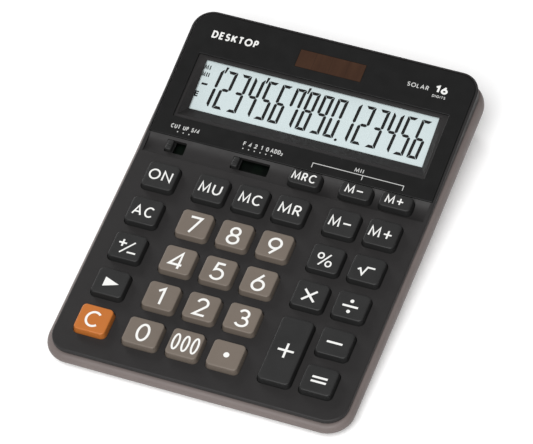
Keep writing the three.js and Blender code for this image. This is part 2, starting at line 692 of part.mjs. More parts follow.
function lcdFrame() {
  const low = LCD_TOP - LCD_THICKNESS - FIT_GAP - FRAME_BACK;
  const outer = solid(aroundView(FRAME_MARGIN, low, LCD_TOP));
  const pocket = aroundView(LCD_MARGIN + FIT_GAP, LCD_TOP - LCD_THICKNESS - FIT_GAP, 3);
  const back = aroundView(-2, low - 1, 3);
  return skin(cut(outer, pocket, back));
}

const CONNECTOR_WIDTH = 3;
const CONNECTOR_V = 10;

// Elastomer strip from the board up to the glass, in the display's frame.
function connectorGeometry() {
  const top = LCD_TOP - LCD_THICKNESS - FIT_GAP;
  const corner = at(display, 0, CONNECTOR_V - CONNECTOR_WIDTH / 2, top);
  const room = corner.z - faceHeight(deck, corner.y, BOARD_TOP + FIT_GAP);
  const height = (room * Math.cos(DECK_TILT * RAD)) / Math.cos((LCD_TILT - DECK_TILT) * RAD);
  return slab(LCD_WIDTH * 0.85, CONNECTOR_WIDTH, top - height, top, 0, CONNECTOR_V);
}

// ---- Board and mat, in the deck's frame ----
const BOARD_MARGIN = 9.0; // case edge to the board
const BOARD_FRONT = FRONT_MARGIN - 1.2;
const BOARD_REAR = PANEL_FRONT + 31;

function mainBoard() {
  const bottom = BOARD_TOP - BOARD_THICKNESS;
  const width = CASE_WIDTH - 2 * BOARD_MARGIN;
  const length = BOARD_REAR - BOARD_FRONT;
  const board = solid(slab(width, length, bottom, BOARD_TOP, 0, BOARD_FRONT + length / 2));
  const blobSteps = ROUND_STEPS / 2;
  const blob = loft([
    ringAt(circlePoints(7, blobSteps), bottom + 0.1).reverse(),
    ringAt(circlePoints(6.2, blobSteps), bottom - 0.8).reverse(),
    ringAt(circlePoints(3.5, blobSteps), bottom - 1.4).reverse(),
  ]).translate(20, PANEL_FRONT + 14, 0);
  return skin(cut(join(board, blob), ...screwPassages(WELL_RADIUS + 2 * FIT_GAP)));
}

// Upright holes through the board and mat for the front screws' bosses, in the deck's frame.
function screwPassages(radius) {
  return SCREW_PLACES.slice(0, 2).map(({ x }) => {
    const points = circlePoints(radius, ROUND_STEPS / 2, x, rowV(1));
    return prism(points, BOARD_TOP - 3, DOME_TOP);
  });
}

function keyMat() {
  const low = MAT_TOP - MAT_THICKNESS;
  const left = columnX(0) - KEY_WIDTH / 2;
  const right = columnX(5) + KEY_WIDTH / 2;
  const rear = rowV(KEY_ROWS - 1) + KEY_DEPTH / 2 + 1;
  const length = rear - FRONT_MARGIN;
  const sheet = slab(right - left, length, low, MAT_TOP, (left + right) / 2, FRONT_MARGIN + length / 2);
  const tabLeft = columnX(3) - KEY_WIDTH / 2;
  const tabFront = rear - 2;
  const tabLength = MEMORY_KEY_V + MEMORY_KEY_DEPTH / 2 - tabFront;
  const tabV = tabFront + tabLength / 2;
  const tab = slab(right - tabLeft, tabLength, low, MAT_TOP, (right + tabLeft) / 2, tabV);
  let body = join(solid(sheet), tab);
  KEYS.forEach((key) => {
    const top = key.inStep ? STEP_DOME_TOP : DOME_TOP;
    const dome = loft([ringAt(circlePoints(3.4, 8), MAT_TOP - 0.2), ringAt(circlePoints(2.0, 8), top)]);
    body = join(body, dome.translate(key.x, key.v, 0));
  });
  return skin(cut(body, ...screwPassages(BOSS_RADIUS + 3 * FIT_GAP)));
}

// ---- Assembly ----
addNode(root, 'upper_case', upperCase(), DARK_CASE);
addNode(root, 'lower_case', lowerCase(), WARM_CASE);
KEYS.forEach((key) => {
  addNode(deck, key.name, keyGeometry(key), key.look).position.set(key.x, key.v, 0);
});
[['rounding', ROUNDING_X], ['decimal', DECIMAL_X]].forEach(([name, left]) => {
  const x = -HALF_WIDTH + left;
  addNode(deck, `${name}_switch_knob`, knobGeometry(), DARK_KEY).position.set(x, SWITCH_V, 0);
  addNode(deck, `${name}_switch_wiper`, wiperGeometry(), STEEL).position.set(x, SWITCH_V, 0);
});
addNode(deck, 'main_board', mainBoard(), BOARD_FACE);
addNode(deck, 'key_mat', keyMat(), SOFT_RUBBER);
addNode(panel, 'display_panel', displayPanel(), PANEL_FACE);
const solarWindow = slab(SOLAR_WIDTH, SOLAR_DEPTH, -PANEL_THICKNESS, 0, 0, SOLAR_V);
addNode(panel, 'solar_window', solarWindow, SOLAR_FACE);
const cellGrow = 2 * CELL_MARGIN;
const cellTop = -PANEL_THICKNESS - FIT_GAP;
const solarCell = slab(SOLAR_WIDTH + cellGrow, SOLAR_DEPTH + cellGrow, cellTop - 1.2, cellTop, 0, SOLAR_V);
addNode(panel, 'solar_cell', solarCell, SOLAR_FACE);
const windowSlab = aroundView(WINDOW_MARGIN, -FIT_GAP - WINDOW_THICKNESS, -FIT_GAP);
addNode(display, 'display_window', windowSlab, CLEAR);
addNode(display, 'lcd_glass', aroundView(LCD_MARGIN, LCD_TOP - LCD_THICKNESS, LCD_TOP), LCD_FACE);
addNode(display, 'lcd_frame', lcdFrame(), BLACK_PLASTIC);
addNode(display, 'lcd_connector', connectorGeometry(), SOFT_RUBBER);
FOOT_PLACES.forEach(({ name, x, y }) => {
  addNode(root, name, footGeometry(), FOOT_RUBBER).position.set(x, y, 0);
});
SCREW_PLACES.forEach(({ name, x, y }) => {
  const headFace = SCREW_WELL_TOP - 1.2 - FIT_GAP - 1.4;
  const reach = Math.min(5.5, bossCeiling(y) - SCREW_WELL_TOP - 1.2);
  const screw = addNode(root, name, screwGeometry(SCREW_WELL_TOP + reach - headFace), STEEL);
  screw.position.set(x, y, headFace);
});
addNode(root, 'battery_cover', batteryCover(), WARM_CASE);
const coverScrew = addNode(root, 'battery_cover_screw', screwGeometry(3.2), STEEL);
coverScrew.position.set(COVER_SCREW_X, BATTERY_Y, FLOOR_LOW - 0.7);
const cellOutline = circlePoints(CELL_RADIUS, ROUND_STEPS, CELL_X, BATTERY_Y);
addNode(root, 'battery', prism(cellOutline, CELL_LOW, CELL_LOW + CELL_HEIGHT), STEEL);
addNode(root, 'battery_contact_side', contactSide(), STEEL);
addNode(root, 'battery_contact_top', contactTop(), STEEL);

export default root;
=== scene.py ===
import json
import math

import bpy
import numpy as np
from mathutils import Matrix, Vector


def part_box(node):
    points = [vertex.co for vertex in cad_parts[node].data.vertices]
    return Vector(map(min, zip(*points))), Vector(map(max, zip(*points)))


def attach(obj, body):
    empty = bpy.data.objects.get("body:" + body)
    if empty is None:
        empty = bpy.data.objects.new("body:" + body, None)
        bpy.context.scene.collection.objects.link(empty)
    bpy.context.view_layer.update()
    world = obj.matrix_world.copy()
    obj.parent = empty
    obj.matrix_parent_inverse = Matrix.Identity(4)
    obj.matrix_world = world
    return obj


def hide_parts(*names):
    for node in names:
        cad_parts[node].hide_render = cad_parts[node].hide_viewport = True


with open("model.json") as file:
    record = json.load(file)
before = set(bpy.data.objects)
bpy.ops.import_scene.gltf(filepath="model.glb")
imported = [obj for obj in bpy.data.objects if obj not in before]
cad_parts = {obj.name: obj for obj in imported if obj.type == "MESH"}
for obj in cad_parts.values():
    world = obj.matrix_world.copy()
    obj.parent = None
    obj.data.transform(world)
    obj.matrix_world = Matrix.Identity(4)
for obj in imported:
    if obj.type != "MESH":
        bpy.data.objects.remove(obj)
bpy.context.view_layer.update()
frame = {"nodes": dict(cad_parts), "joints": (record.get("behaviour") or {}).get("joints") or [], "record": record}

# Desk calculator: fine shells and key caps, printed legends, a segment display and finishes,
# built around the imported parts. Lengths are in metres. A slope's own coordinates are x across,
# v up the slope and w out of its face.

MM = 0.001

# ---- Case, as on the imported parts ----
PANEL_TILT = math.radians(10.05)
LCD_TILT = math.radians(16.4)
CASE_CORNER = 10.5 * MM
CASE_STEPS = 14
WALL = 1.8 * MM
TOP_FILLET = 0.7 * MM
SEAM_FRONT = 2.4 * MM
SEAM_REAR_TILT = math.radians(6.9)
SEAM_GAP = 0.3 * MM
SEAM_CHAMFER = 0.4 * MM
BAND_BULGE = 2.7 * MM
BAND_LIP = 0.4 * MM
BAND_FULLNESS = 0.55
BAND_DROP_FRONT = 3.5 * MM
BAND_DROP_REAR = 5.3 * MM
TURN_IN_FRONT = 4.6 * MM
TURN_IN_REAR = 9.0 * MM
TURN_IN_LEAST = 1.1 * MM
TURN_IN_ROUND = 0.9 * MM
BASE_EDGE = 1.2 * MM
RIM_LAND = 1.4 * MM
HULL_INSET = 8.0 * MM
LOWER_WALL = 1.6 * MM
FOOT_HEIGHT = 1.5 * MM
FOOT_SEAT = 0.5 * MM
FIT_GAP = 0.3 * MM
WELL_RADIUS = 4.2 * MM
WELL_HEIGHT = 2.6 * MM
HEAD_HOLE_RADIUS = 2.8 * MM
HEAD_SEAT = 1.2 * MM
SHANK_HOLE_RADIUS = 1.4 * MM

# ---- Keys ----
KEY_HEIGHT = 3.2 * MM
KEY_CORNER = 2.6 * MM
KEY_CORNER_LEAST = 0.6 * MM
KEY_DRAFT = 0.45 * MM
KEY_FILLET = 0.65 * MM
KEY_DISH = 0.12 * MM
HOLE_CLEARANCE = 0.35 * MM
FLANGE_REACH = HOLE_CLEARANCE + 0.8 * MM
FLANGE_THICKNESS = 0.9 * MM
STEP_SKIN = 1.2 * MM

# ---- Step and switches ----
STEP_DEPTH = 11.8 * MM
STEP_RISE = 0.95 * MM
STEP_SAG = 1.7 * MM
LIP_RADIUS = 0.8 * MM
KNOB_WIDTH = 3.2 * MM
KNOB_LENGTH = 5.9 * MM
KNOB_SLACK = 0.45 * MM
KNOB_CORNER = 0.9 * MM
KNOB_FILLET = 0.55 * MM
KNOB_PLATE = 1.0 * MM
RIDGE_LENGTH = 0.9 * MM
RIDGE_HEIGHT = 0.35 * MM
RIDGE_FILLET = 0.25 * MM
SLOT_CORNER = 0.6 * MM

# ---- Display ----
PANEL_RIM = 1.5 * MM
PANEL_THICKNESS = 0.8 * MM
PANEL_GAP = 0.3 * MM
PANEL_FILLET = 0.3 * MM
OPENING_SIDE = 8.1 * MM
OPENING_FRONT = 11.2 * MM
OPENING_DEPTH = 37.4 * MM
OPENING_CORNER = 0.4 * MM
OPENING_FLARE = 0.35 * MM
WINDOW_MARGIN = 1.6 * MM
TUB_WALL = 1.4 * MM
SOLAR_GAP = 0.25 * MM

# ---- Print: its height, its root in the face, and the rise from one mark to the next ----
PRINT_HEIGHT = 0.03 * MM
PRINT_ROOT = 0.2 * MM
PRINT_RISE = 0.004 * MM

# ---- Cutters: how far one runs past an open face, over the deck and under it ----
PAST = 1 * MM
OVER = 3 * MM
UNDER = 9 * MM


class Slope:
    """A sloping face that rises towards the back: its tilt, and the place of its front edge."""

    def __init__(self, tilt, y, z):
        rise, run = math.sin(tilt), math.cos(tilt)
        self.origin = np.array([0.0, y, z])
        self.axes = np.array([[1.0, 0.0, 0.0], [0.0, run, rise], [0.0, -rise, run]])

    def world(self, points):
        return np.asarray(points, float) @ self.axes + self.origin

    def local(self, points):
        return (points - self.origin) @ self.axes.T

    def height(self, y, w=0.0):
        """Height above the desk of the face moved out by w, at depth y."""
        run, rise = self.axes[1][1], self.axes[1][2]
        v = (y - self.origin[1] + w * rise) / run
        return self.origin[2] + v * rise + w * run


def node_box(node):
    """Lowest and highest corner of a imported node."""
    return (np.array(corner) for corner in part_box(node))


def node_points(node):
    mesh = frame["nodes"][node].data
    flat = np.empty(3 * len(mesh.vertices))
    mesh.vertices.foreach_get("co", flat)
    return flat.reshape(-1, 3)


def extent(node, slope):
    """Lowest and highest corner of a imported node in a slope's own coordinates."""
    local = slope.local(node_points(node))
    return local.min(0), local.max(0)


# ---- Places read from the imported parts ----
CASE_LOW, CASE_HIGH = node_box("upper_case")
CASE_WIDTH = CASE_HIGH[0] - CASE_LOW[0]
CASE_DEPTH = CASE_HIGH[1] - CASE_LOW[1]
REAR = CASE_HIGH[1]
KEY_AXIS = next(joint for joint in frame["joints"] if joint["child"] == "key_c")["axis"]
DECK_TILT = math.atan2(-KEY_AXIS[1], KEY_AXIS[2])


def deck_slope():
    flat = Slope(DECK_TILT, 0, 0)
    w = extent("key_c", flat)[1][2] - KEY_HEIGHT
    return Slope(DECK_TILT, CASE_LOW[1], flat.height(CASE_LOW[1], w))


def slope_of(node, tilt, front_margin, top_gap):
    """The slope whose front edge lies front_margin inside a node's and top_gap above its face."""
    flat = Slope(tilt, 0, 0)
    low, high = extent(node, flat)
    place = flat.world([0, low[1] + front_margin, high[2] + top_gap])
    return Slope(tilt, place[1], place[2])


DECK = deck_slope()
PANEL = slope_of("display_panel", PANEL_TILT, 0, 0)
VIEW = slope_of("display_window", LCD_TILT, WINDOW_MARGIN, FIT_GAP)
WINDOW_HIGH = extent("display_window", VIEW)[1]
VIEW_HALF = WINDOW_HIGH[0] - WINDOW_MARGIN
VIEW_LENGTH = WINDOW_HIGH[1] - WINDOW_MARGIN
PANEL_LENGTH = extent("display_panel", PANEL)[1][1]
PANEL_WIDTH = CASE_WIDTH - 2 * PANEL_RIM
OPENING_HALF = PANEL_WIDTH / 2 - OPENING_SIDE
STEP_FRONT = DECK.local(PANEL.origin)[1] - STEP_DEPTH
STEP_Y = DECK.world([0, STEP_FRONT, 0])[1]
LEVEL_GAP = PANEL.height(0) - DECK.height(0)
MEET_Y = -LEVEL_GAP / (PANEL.height(1) - DECK.height(1) - LEVEL_GAP)
KEY_NODES = [node for node in frame["nodes"] if node.startswith("key_") and node != "key_mat"]
STEP_CEILING = -(STEP_SAG - STEP_RISE / 2) - STEP_SKIN


# ---- Surfaces ----
def outline(width, depth, radius, steps, breaks=(), centre=(0.0, 0.0), front_radius=None):
    """Rounded rectangle, anticlockwise from the right end of its rear right corner.

    Each corner is a quarter circle of steps + 1 points. breaks are extra y values on both sides.
    """
    front = radius if front_radius is None else front_radius
    turn = np.linspace(0.0, math.pi / 2, steps + 1)
    corners = []
    quarters = [(1, 1, radius), (-1, 1, radius), (-1, -1, front), (1, -1, front)]
    for quarter, (side, back, size) in enumerate(quarters):
        angle = turn + quarter * math.pi / 2
        x = side * (width / 2 - size) + size * np.cos(angle)
        y = back * (depth / 2 - size) + size * np.sin(angle)
        corners.append(np.column_stack([x, y]))
    rising = np.sort(np.array(breaks, float)) - centre[1]
    left = np.column_stack([np.full(len(rising), -width / 2), rising[::-1]])
    right = np.column_stack([np.full(len(rising), width / 2), rising])
    return np.vstack([corners[0], corners[1], left, corners[2], corners[3], right]) + centre


def circle(radius, quarter_points=8, centre=(0.0, 0.0)):
    """Circle of four times quarter_points points, none on its axes."""
    count = 4 * quarter_points
    angle = (np.arange(count) + 0.5) * 2 * math.pi / count
    return np.column_stack([radius * np.cos(angle), radius * np.sin(angle)]) + centre


def ring(points, height):
    """A plan outline lifted to a height, which may be a function of y."""
    z = height(points[:, 1]) if callable(height) else height
    return np.column_stack([points, np.broadcast_to(z, len(points))])


def loft(rings, corner=None):
    """Closed skin through rings of equal count, lowest first: r * n points and quads between them.

    Both caps are ladders of strips between mirrored points; corner is the point count of a
    ring's first corner.
    """
    rings = np.asarray(rings)
    levels, count = rings.shape[:2]
    first = count // 4 if corner is None else corner
    i = np.arange(count)
    base = np.arange(levels - 1)[:, None] * count
    nexts = (i + 1) % count
    sides = np.stack([base + i, base + nexts, base + count + nexts, base + count + i], -1).reshape(-1, 4)
    rung = np.arange(count // 2)
    right = (first - 1 - rung) % count
    left = (first + rung) % count
    cap = np.column_stack([right[:-1], left[:-1], left[1:], right[1:]])
    top = cap + (levels - 1) * count
    faces = sides.tolist() + cap[:, ::-1].tolist() + top.tolist()
    return rings.reshape(-1, 3), faces


def prism(points, low, high, slope=None):
    """Upright column over a convex or concave plan outline, its caps one face each."""
    count = len(points)
    vertices = np.vstack([ring(points, low), ring(points, high)])
    i = np.arange(count)
    nexts = (i + 1) % count
    faces = np.column_stack([i, nexts, nexts + count, i + count]).tolist()
    faces += [i[::-1].tolist(), (i + count).tolist()]
    return (slope.world(vertices) if slope else vertices), faces


def tube(sections, closed):
    """Skin of a section carried along a path: m sections of n points, joined end to start if closed."""
    count, size = sections.shape[:2]
    i = np.arange(size)
    start = np.arange(count if closed else count - 1)[:, None]
    here, there = start * size, ((start + 1) % count) * size
    nexts = (i + 1) % size
    faces = np.stack([here + i, here + nexts, there + nexts, there + i], -1).reshape(-1, 4).tolist()
    if not closed:
        faces += [i[::-1].tolist(), (i + (count - 1) * size).tolist()]
    return sections.reshape(-1, 3), faces


def gather(parts):
    """One list of points and faces from several."""
    vertices, faces, base = [], [], 0
    for points, polygons in parts:
        vertices.append(points)
        faces += [[index + base for index in polygon] for polygon in polygons]
        base += len(points)
    return np.vstack(vertices), faces


def piece(name, surface, sharp=35.0):
    """A mesh object from points and faces, smooth except across edges sharper than sharp degrees."""
    vertices, faces = surface
    mesh = bpy.data.meshes.new(name)
    mesh.from_pydata(vertices.tolist(), [], faces)
    mesh.update()
    obj = bpy.data.objects.new(name, mesh)
    bpy.context.scene.collection.objects.link(obj)
    smooth(obj, sharp)
    return obj


def smooth(obj, sharp):
    """Smooth shading, except across edges sharper than sharp degrees."""
    mesh = obj.data
    mesh.polygons.foreach_set("use_smooth", [True] * len(mesh.polygons))
    mesh.set_sharp_from_angle(angle=math.radians(sharp))


def carve(obj, operation, *surfaces):
    """Cuts or joins closed surfaces into a piece for good, one after the other."""
    for surface in surfaces:
        tool = piece("cutter", surface)
        step = obj.modifiers.new("carve", "BOOLEAN")
        step.operation = operation
        step.object = tool
        step.solver = "EXACT"
        bpy.context.view_layer.objects.active = obj
        bpy.ops.object.modifier_apply(modifier=step.name)
        bpy.data.objects.remove(tool)


def even_normals(obj):
    """Keeps wide faces flat beside their fillets."""
    smooth(obj, 30.0)
    step = obj.modifiers.new("normals", "WEIGHTED_NORMAL")
    step.keep_sharp = True
    step.weight = 80


def settle(obj, body, slot, *nodes, finish=None):
    """Gives a finished piece its finish, the slot's unless another is named, hangs it under its body and hides the
    nodes it stands for.
    """
    obj.data.materials.clear()
    obj.data.materials.append(FINISH[finish or slot])
    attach(obj, body)
    if nodes:
        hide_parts(*nodes)


def arc_steps(steps):
    """Inset and drop of a quarter-circle fillet of unit radius, from its side to its top."""
    turn = np.linspace(0.0, math.pi / 2, steps)
    return list(zip(1 - np.cos(turn), 1 - np.sin(turn)))


# ---- Finishes ----
def node_tree(name):
    material = bpy.data.materials.new(name)
    material.use_nodes = True
    nodes = material.node_tree.nodes
    return material, nodes, material.node_tree.links, nodes["Principled BSDF"]


def dial(node, settings):
    """Sets a node's own sockets."""
    for socket, value in settings.items():
        node.inputs[socket].default_value = value


def object_noise(nodes, links, scale, detail, stretch=(1.0, 1.0, 1.0)):
    """Noise in object space, scale features per metre, drawn out along an axis by stretch."""
    place = nodes.new("ShaderNodeTexCoord")
    turn = nodes.new("ShaderNodeMapping")
    dial(turn, {"Scale": stretch})
    noise = nodes.new("ShaderNodeTexNoise")
    dial(noise, {"Scale": scale, "Detail": detail})
    links.new(place.outputs["Object"], turn.inputs["Vector"])
    links.new(turn.outputs["Vector"], noise.inputs["Vector"])
    return noise.outputs["Fac"]


def two_tones(nodes, links, factor, low, high, start=0.3, end=0.7):
    ramp = nodes.new("ShaderNodeValToRGB")
    ramp.color_ramp.elements[0].position = start
    ramp.color_ramp.elements[1].position = end
    ramp.color_ramp.elements[0].color = (*low, 1.0)
    ramp.color_ramp.elements[1].color = (*high, 1.0)
    links.new(factor, ramp.inputs["Fac"])
    return ramp.outputs["Color"]


def in_range(nodes, links, factor, low, high, start=0.3, end=0.7):
    spread = nodes.new("ShaderNodeMapRange")
    dial(spread, {"From Min": start, "From Max": end, "To Min": low, "To Max": high})
    links.new(factor, spread.inputs["Value"])
    return spread.outputs["Result"]


def grain(nodes, links, shader, height, strength, depth):
    bump = nodes.new("ShaderNodeBump")
    dial(bump, {"Strength": strength, "Distance": depth})
    links.new(height, bump.inputs["Height"])
    links.new(bump.outputs["Normal"], shader.inputs["Normal"])


def moulded(name, colour, roughness, gloss=0.35, fine=2600.0, strength=0.25, uneven=0.07):
    """Moulded plastic: spark-eroded grain, faint patches of tone and of sheen."""
    material, nodes, links, shader = node_tree(name)
    colour = np.array(colour)
    patches = object_noise(nodes, links, 45.0, 4.0)
    tone = two_tones(nodes, links, patches, colour * (1 - uneven), colour * (1 + uneven))
    links.new(tone, shader.inputs["Base Color"])
    sheen = object_noise(nodes, links, 160.0, 5.0)
    links.new(in_range(nodes, links, sheen, roughness * 0.9, roughness * 1.12), shader.inputs["Roughness"])
    dial(shader, {"Specular IOR Level": gloss})
    grain(nodes, links, shader, object_noise(nodes, links, fine, 2.0), strength, 0.03 * MM)
    return material


def plated(name, colour, roughness, stretch):
    """Plated steel with drawn-out polishing marks."""
    material, nodes, links, shader = node_tree(name)
    marks = object_noise(nodes, links, 900.0, 4.0, stretch)
    colour = np.array(colour)
    links.new(two_tones(nodes, links, marks, colour * 0.85, colour), shader.inputs["Base Color"])
    links.new(in_range(nodes, links, marks, roughness * 0.8, roughness * 1.3), shader.inputs["Roughness"])
    dial(shader, {"Metallic": 1.0})
    grain(nodes, links, shader, marks, 0.15, 0.02 * MM)
    return material


def rubbery(name, colour, roughness=0.85):
    material = moulded(name, colour, roughness, gloss=0.2, fine=1500.0, strength=0.4, uneven=0.12)
    dial(material.node_tree.nodes["Principled BSDF"], {"Sheen Weight": 0.15})
    return material


def clear_window(name):
    """Thin clear sheet: almost all light passes, with a faint gloss and the odd smear."""
    material, nodes, links, shader = node_tree(name)
    dial(shader, {"Base Color": (0.02, 0.022, 0.022, 1.0), "Alpha": 0.04})
    smears = object_noise(nodes, links, 60.0, 4.0, (1.0, 0.4, 1.0))
    links.new(in_range(nodes, links, smears, 0.04, 0.1), shader.inputs["Roughness"])
    return material


def lcd_back(name):
    """Silvery reflector behind the liquid crystal: pale blue-grey with a fine matt sparkle."""
    material, nodes, links, shader = node_tree(name)
    sparkle = object_noise(nodes, links, 5200.0, 1.0)
    tone = two_tones(nodes, links, sparkle, (0.63, 0.73, 0.74), (0.72, 0.82, 0.83))
    links.new(tone, shader.inputs["Base Color"])
    dial(shader, {"Roughness": 0.5})
    grain(nodes, links, shader, sparkle, 0.1, 0.01 * MM)
    return material


def solar_cells(name, cells=4):
    """Dark amber cells side by side, with thin darker lines between them and fine streaks."""
    material, nodes, links, shader = node_tree(name)
    place = nodes.new("ShaderNodeTexCoord")
    axes = nodes.new("ShaderNodeSeparateXYZ")
    links.new(place.outputs["Object"], axes.inputs["Vector"])
    low, high = extent("solar_window", PANEL)
    pitch = (high[0] - low[0]) / cells
    wave = nodes.new("ShaderNodeMath")
    wave.operation = "PINGPONG"
    dial(wave, {1: pitch / 2})
    links.new(axes.outputs["X"], wave.inputs[0])
    inside = in_range(nodes, links, wave.outputs["Value"], 0.0, 1.0, 0.0, 0.25 * MM)
    streaks = object_noise(nodes, links, 300.0, 3.0, (1.0, 0.15, 1.0))
    tone = two_tones(nodes, links, streaks, (0.038, 0.016, 0.008), (0.050, 0.022, 0.011))
    mix = nodes.new("ShaderNodeMix")
    mix.data_type = "RGBA"
    dial(mix, {"A": (0.028, 0.012, 0.006, 1.0)})
    links.new(inside, mix.inputs["Factor"])
    links.new(tone, mix.inputs["B"])
    links.new(mix.outputs["Result"], shader.inputs["Base Color"])
    dial(shader, {"Roughness": 0.35, "Specular IOR Level": 0.3})
    return material


def circuit_board(name):
    """Green solder mask over copper tracks, seen as slightly raised bands; both tones are darkened to near black
    as painted shade of the switch slots.
    """
    material, nodes, links, shader = node_tree(name)
    tracks = object_noise(nodes, links, 130.0, 0.0, (1.0, 0.25, 1.0))
    # Both greens sit far below the mask's own colour: partly its real green, partly painted shade, so the board
    # looks dark deep inside the slots.
    tone = two_tones(nodes, links, tracks, (0.0008, 0.0020, 0.0012), (0.0015, 0.0040, 0.0022), 0.48, 0.52)
    links.new(tone, shader.inputs["Base Color"])
    dial(shader, {"Roughness": 0.35})
    grain(nodes, links, shader, tracks, 0.4, 0.05 * MM)
    return material


def legend_ink(name, colour, roughness):
    """Printed ink: even colour with a slightly pitted surface."""
    return moulded(name, colour, roughness, gloss=0.3, fine=4000.0, strength=0.1, uneven=0.02)


FINISH = {
    "dark_case": moulded("dark_case", (0.0170, 0.0157, 0.0158), 0.55),
    "warm_case": moulded("warm_case", (0.165, 0.137, 0.130), 0.5),
    "dark_key": moulded("dark_key", (0.0175, 0.0175, 0.0175), 0.5, strength=0.15),
    "grey_key": moulded("grey_key", (0.165, 0.136, 0.112), 0.45, strength=0.15, uneven=0.04),
    "orange_key": moulded("orange_key", (0.49, 0.150, 0.028), 0.4, strength=0.12, uneven=0.04),
    "display_fascia": moulded("display_fascia", (0.0085, 0.0085, 0.0085), 0.38, gloss=0.25, strength=0.1),
    "clear_window": clear_window("clear_window"),
    "lcd": lcd_back("lcd"),
    "lcd_segment": legend_ink("lcd_segment", (0.003, 0.003, 0.003), 0.6),
    "solar_window": solar_cells("solar_window"),
    "solar_cell": moulded("solar_cell", (0.05, 0.02, 0.012), 0.4),
    # The board's near-black finish is partly its own green and partly painted shade of the switch slots.
    "circuit_board": circuit_board("circuit_board"),
    "silicone": rubbery("silicone", (0.27, 0.275, 0.287), 0.6),
    "black_plastic": moulded("black_plastic", (0.011, 0.011, 0.012), 0.6),
    "foot_rubber": rubbery("foot_rubber", (0.012, 0.012, 0.012)),
    "bright_steel": plated("bright_steel", (0.62, 0.63, 0.64), 0.28, (1.0, 1.0, 0.2)),
    "white_ink": legend_ink("white_ink", (0.82, 0.82, 0.80), 0.55),
    "grey_ink": legend_ink("grey_ink", (0.55, 0.55, 0.54), 0.55),
}


def finish_packed_nodes():
    """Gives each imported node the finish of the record's slot that it uses."""
    for part in frame["record"]["subparts"]:
        node = frame["nodes"][part["node"]]
        node.data.materials.clear()
        node.data.materials.append(FINISH[part["material_slot"]])


# ---- Upper case ----
def seam_height(y):
    """The parting line: parallel to the deck up to the step, steeper behind it."""
    step = DECK.height(STEP_Y) - SEAM_FRONT
    return np.where(y < STEP_Y, DECK.height(y) - SEAM_FRONT, step + (y - STEP_Y) * math.tan(SEAM_REAR_TILT))


def rim_height(y, drop=0.0):
    """The higher of the deck's and the panel's slopes."""
    return np.maximum(DECK.height(y), PANEL.height(y)) - drop


def case_ring(grow, height, breaks=None):
    cuts = (STEP_Y, MEET_Y) if breaks is None else breaks
    points = outline(CASE_WIDTH + 2 * grow, CASE_DEPTH + 2 * grow, CASE_CORNER + grow, CASE_STEPS, cuts)
    return ring(points, height)


def case_block():
    """Solid of the upper case: straight wall from the seam, quarter-round fillet, sloping top."""
    rings = [
        case_ring(-SEAM_CHAMFER, lambda y: seam_height(y) + SEAM_GAP / 2),
        case_ring(0.0, lambda y: seam_height(y) + SEAM_GAP / 2 + SEAM_CHAMFER),
    ]
    for inset, drop in arc_steps(7):
        rings.append(case_ring(-inset * TOP_FILLET, lambda y, d=drop * TOP_FILLET: rim_height(y, d)))
    return loft(rings, CASE_STEPS + 1)


def case_room():
    """Space inside the upper case: its ceiling follows the deck, the step and the panel seat."""
    skin = PANEL_THICKNESS + PANEL_GAP + WALL
    step_front = DECK.world([0, STEP_FRONT - WALL, STEP_CEILING])
    step_rear = DECK.world([0, STEP_FRONT + STEP_DEPTH + WALL, STEP_CEILING])
    ramp = 0.05 * MM
    marks = [step_front[1] - ramp, step_front[1], step_rear[1], step_rear[1] + ramp]
    ends = [CASE_LOW[1], REAR]
    y = [ends[0], *marks, ends[1]]
    z = [
        DECK.height(ends[0], -WALL),
        DECK.height(marks[0], -WALL),
        step_front[2],
        step_rear[2],
        PANEL.height(marks[3], -skin),
        PANEL.height(ends[1], -skin),
    ]
    low = case_ring(-WALL, -5 * MM, marks)
    high = case_ring(-WALL, lambda at: np.interp(at, y, z), marks)
    return loft([low, high], CASE_STEPS + 1)


def rectangle(slope, half, start, length, w=0.0):
    """Ring of a rectangle on a slope, with seven more points on each side."""
    shares = np.linspace(0, 1, 9)[1:-1]
    points = outline(2 * half, length, 0.0, 0, start + shares * length, (0.0, start + length / 2))
    return slope.world(ring(points, w))


def well_rings(grow):
    """The recess's two ends: the view at its floor, the opening at the panel's face."""
    low = rectangle(VIEW, VIEW_HALF + grow, -grow, VIEW_LENGTH + 2 * grow)
    high = rectangle(PANEL, OPENING_HALF + grow, OPENING_FRONT - grow, OPENING_DEPTH + 2 * grow)
    return low, high


def tub():
    """Outer block of the recess, cut off inside the wall that carries the panel."""
    low, high = well_rings(TUB_WALL)
    start = PANEL.local(low)[:, 2]
    share = (-PANEL_THICKNESS - PANEL_GAP - 0.4 * MM - start) / -start
    return loft([low, low + (high - low) * share[:, None]], 1)


def well():
    """Recess cutter: straight lines join the view to the opening, and both ends run on."""
    low, high = well_rings(0.0)
    below = rectangle(VIEW, VIEW_HALF, 0.0, VIEW_LENGTH, -PAST)
    above = rectangle(PANEL, OPENING_HALF, OPENING_FRONT, OPENING_DEPTH, OVER)
    return loft([below, low, high, above], 1)


def panel_outline(gap, inset=0.0):
    width = PANEL_WIDTH + 2 * gap - 2 * inset
    low, high = inset - gap, PANEL_LENGTH + gap - inset
    corner = CASE_CORNER - PANEL_RIM + gap - inset
    return outline(width, high - low, corner, CASE_STEPS, (), (0.0, (low + high) / 2), 0.5 * MM)


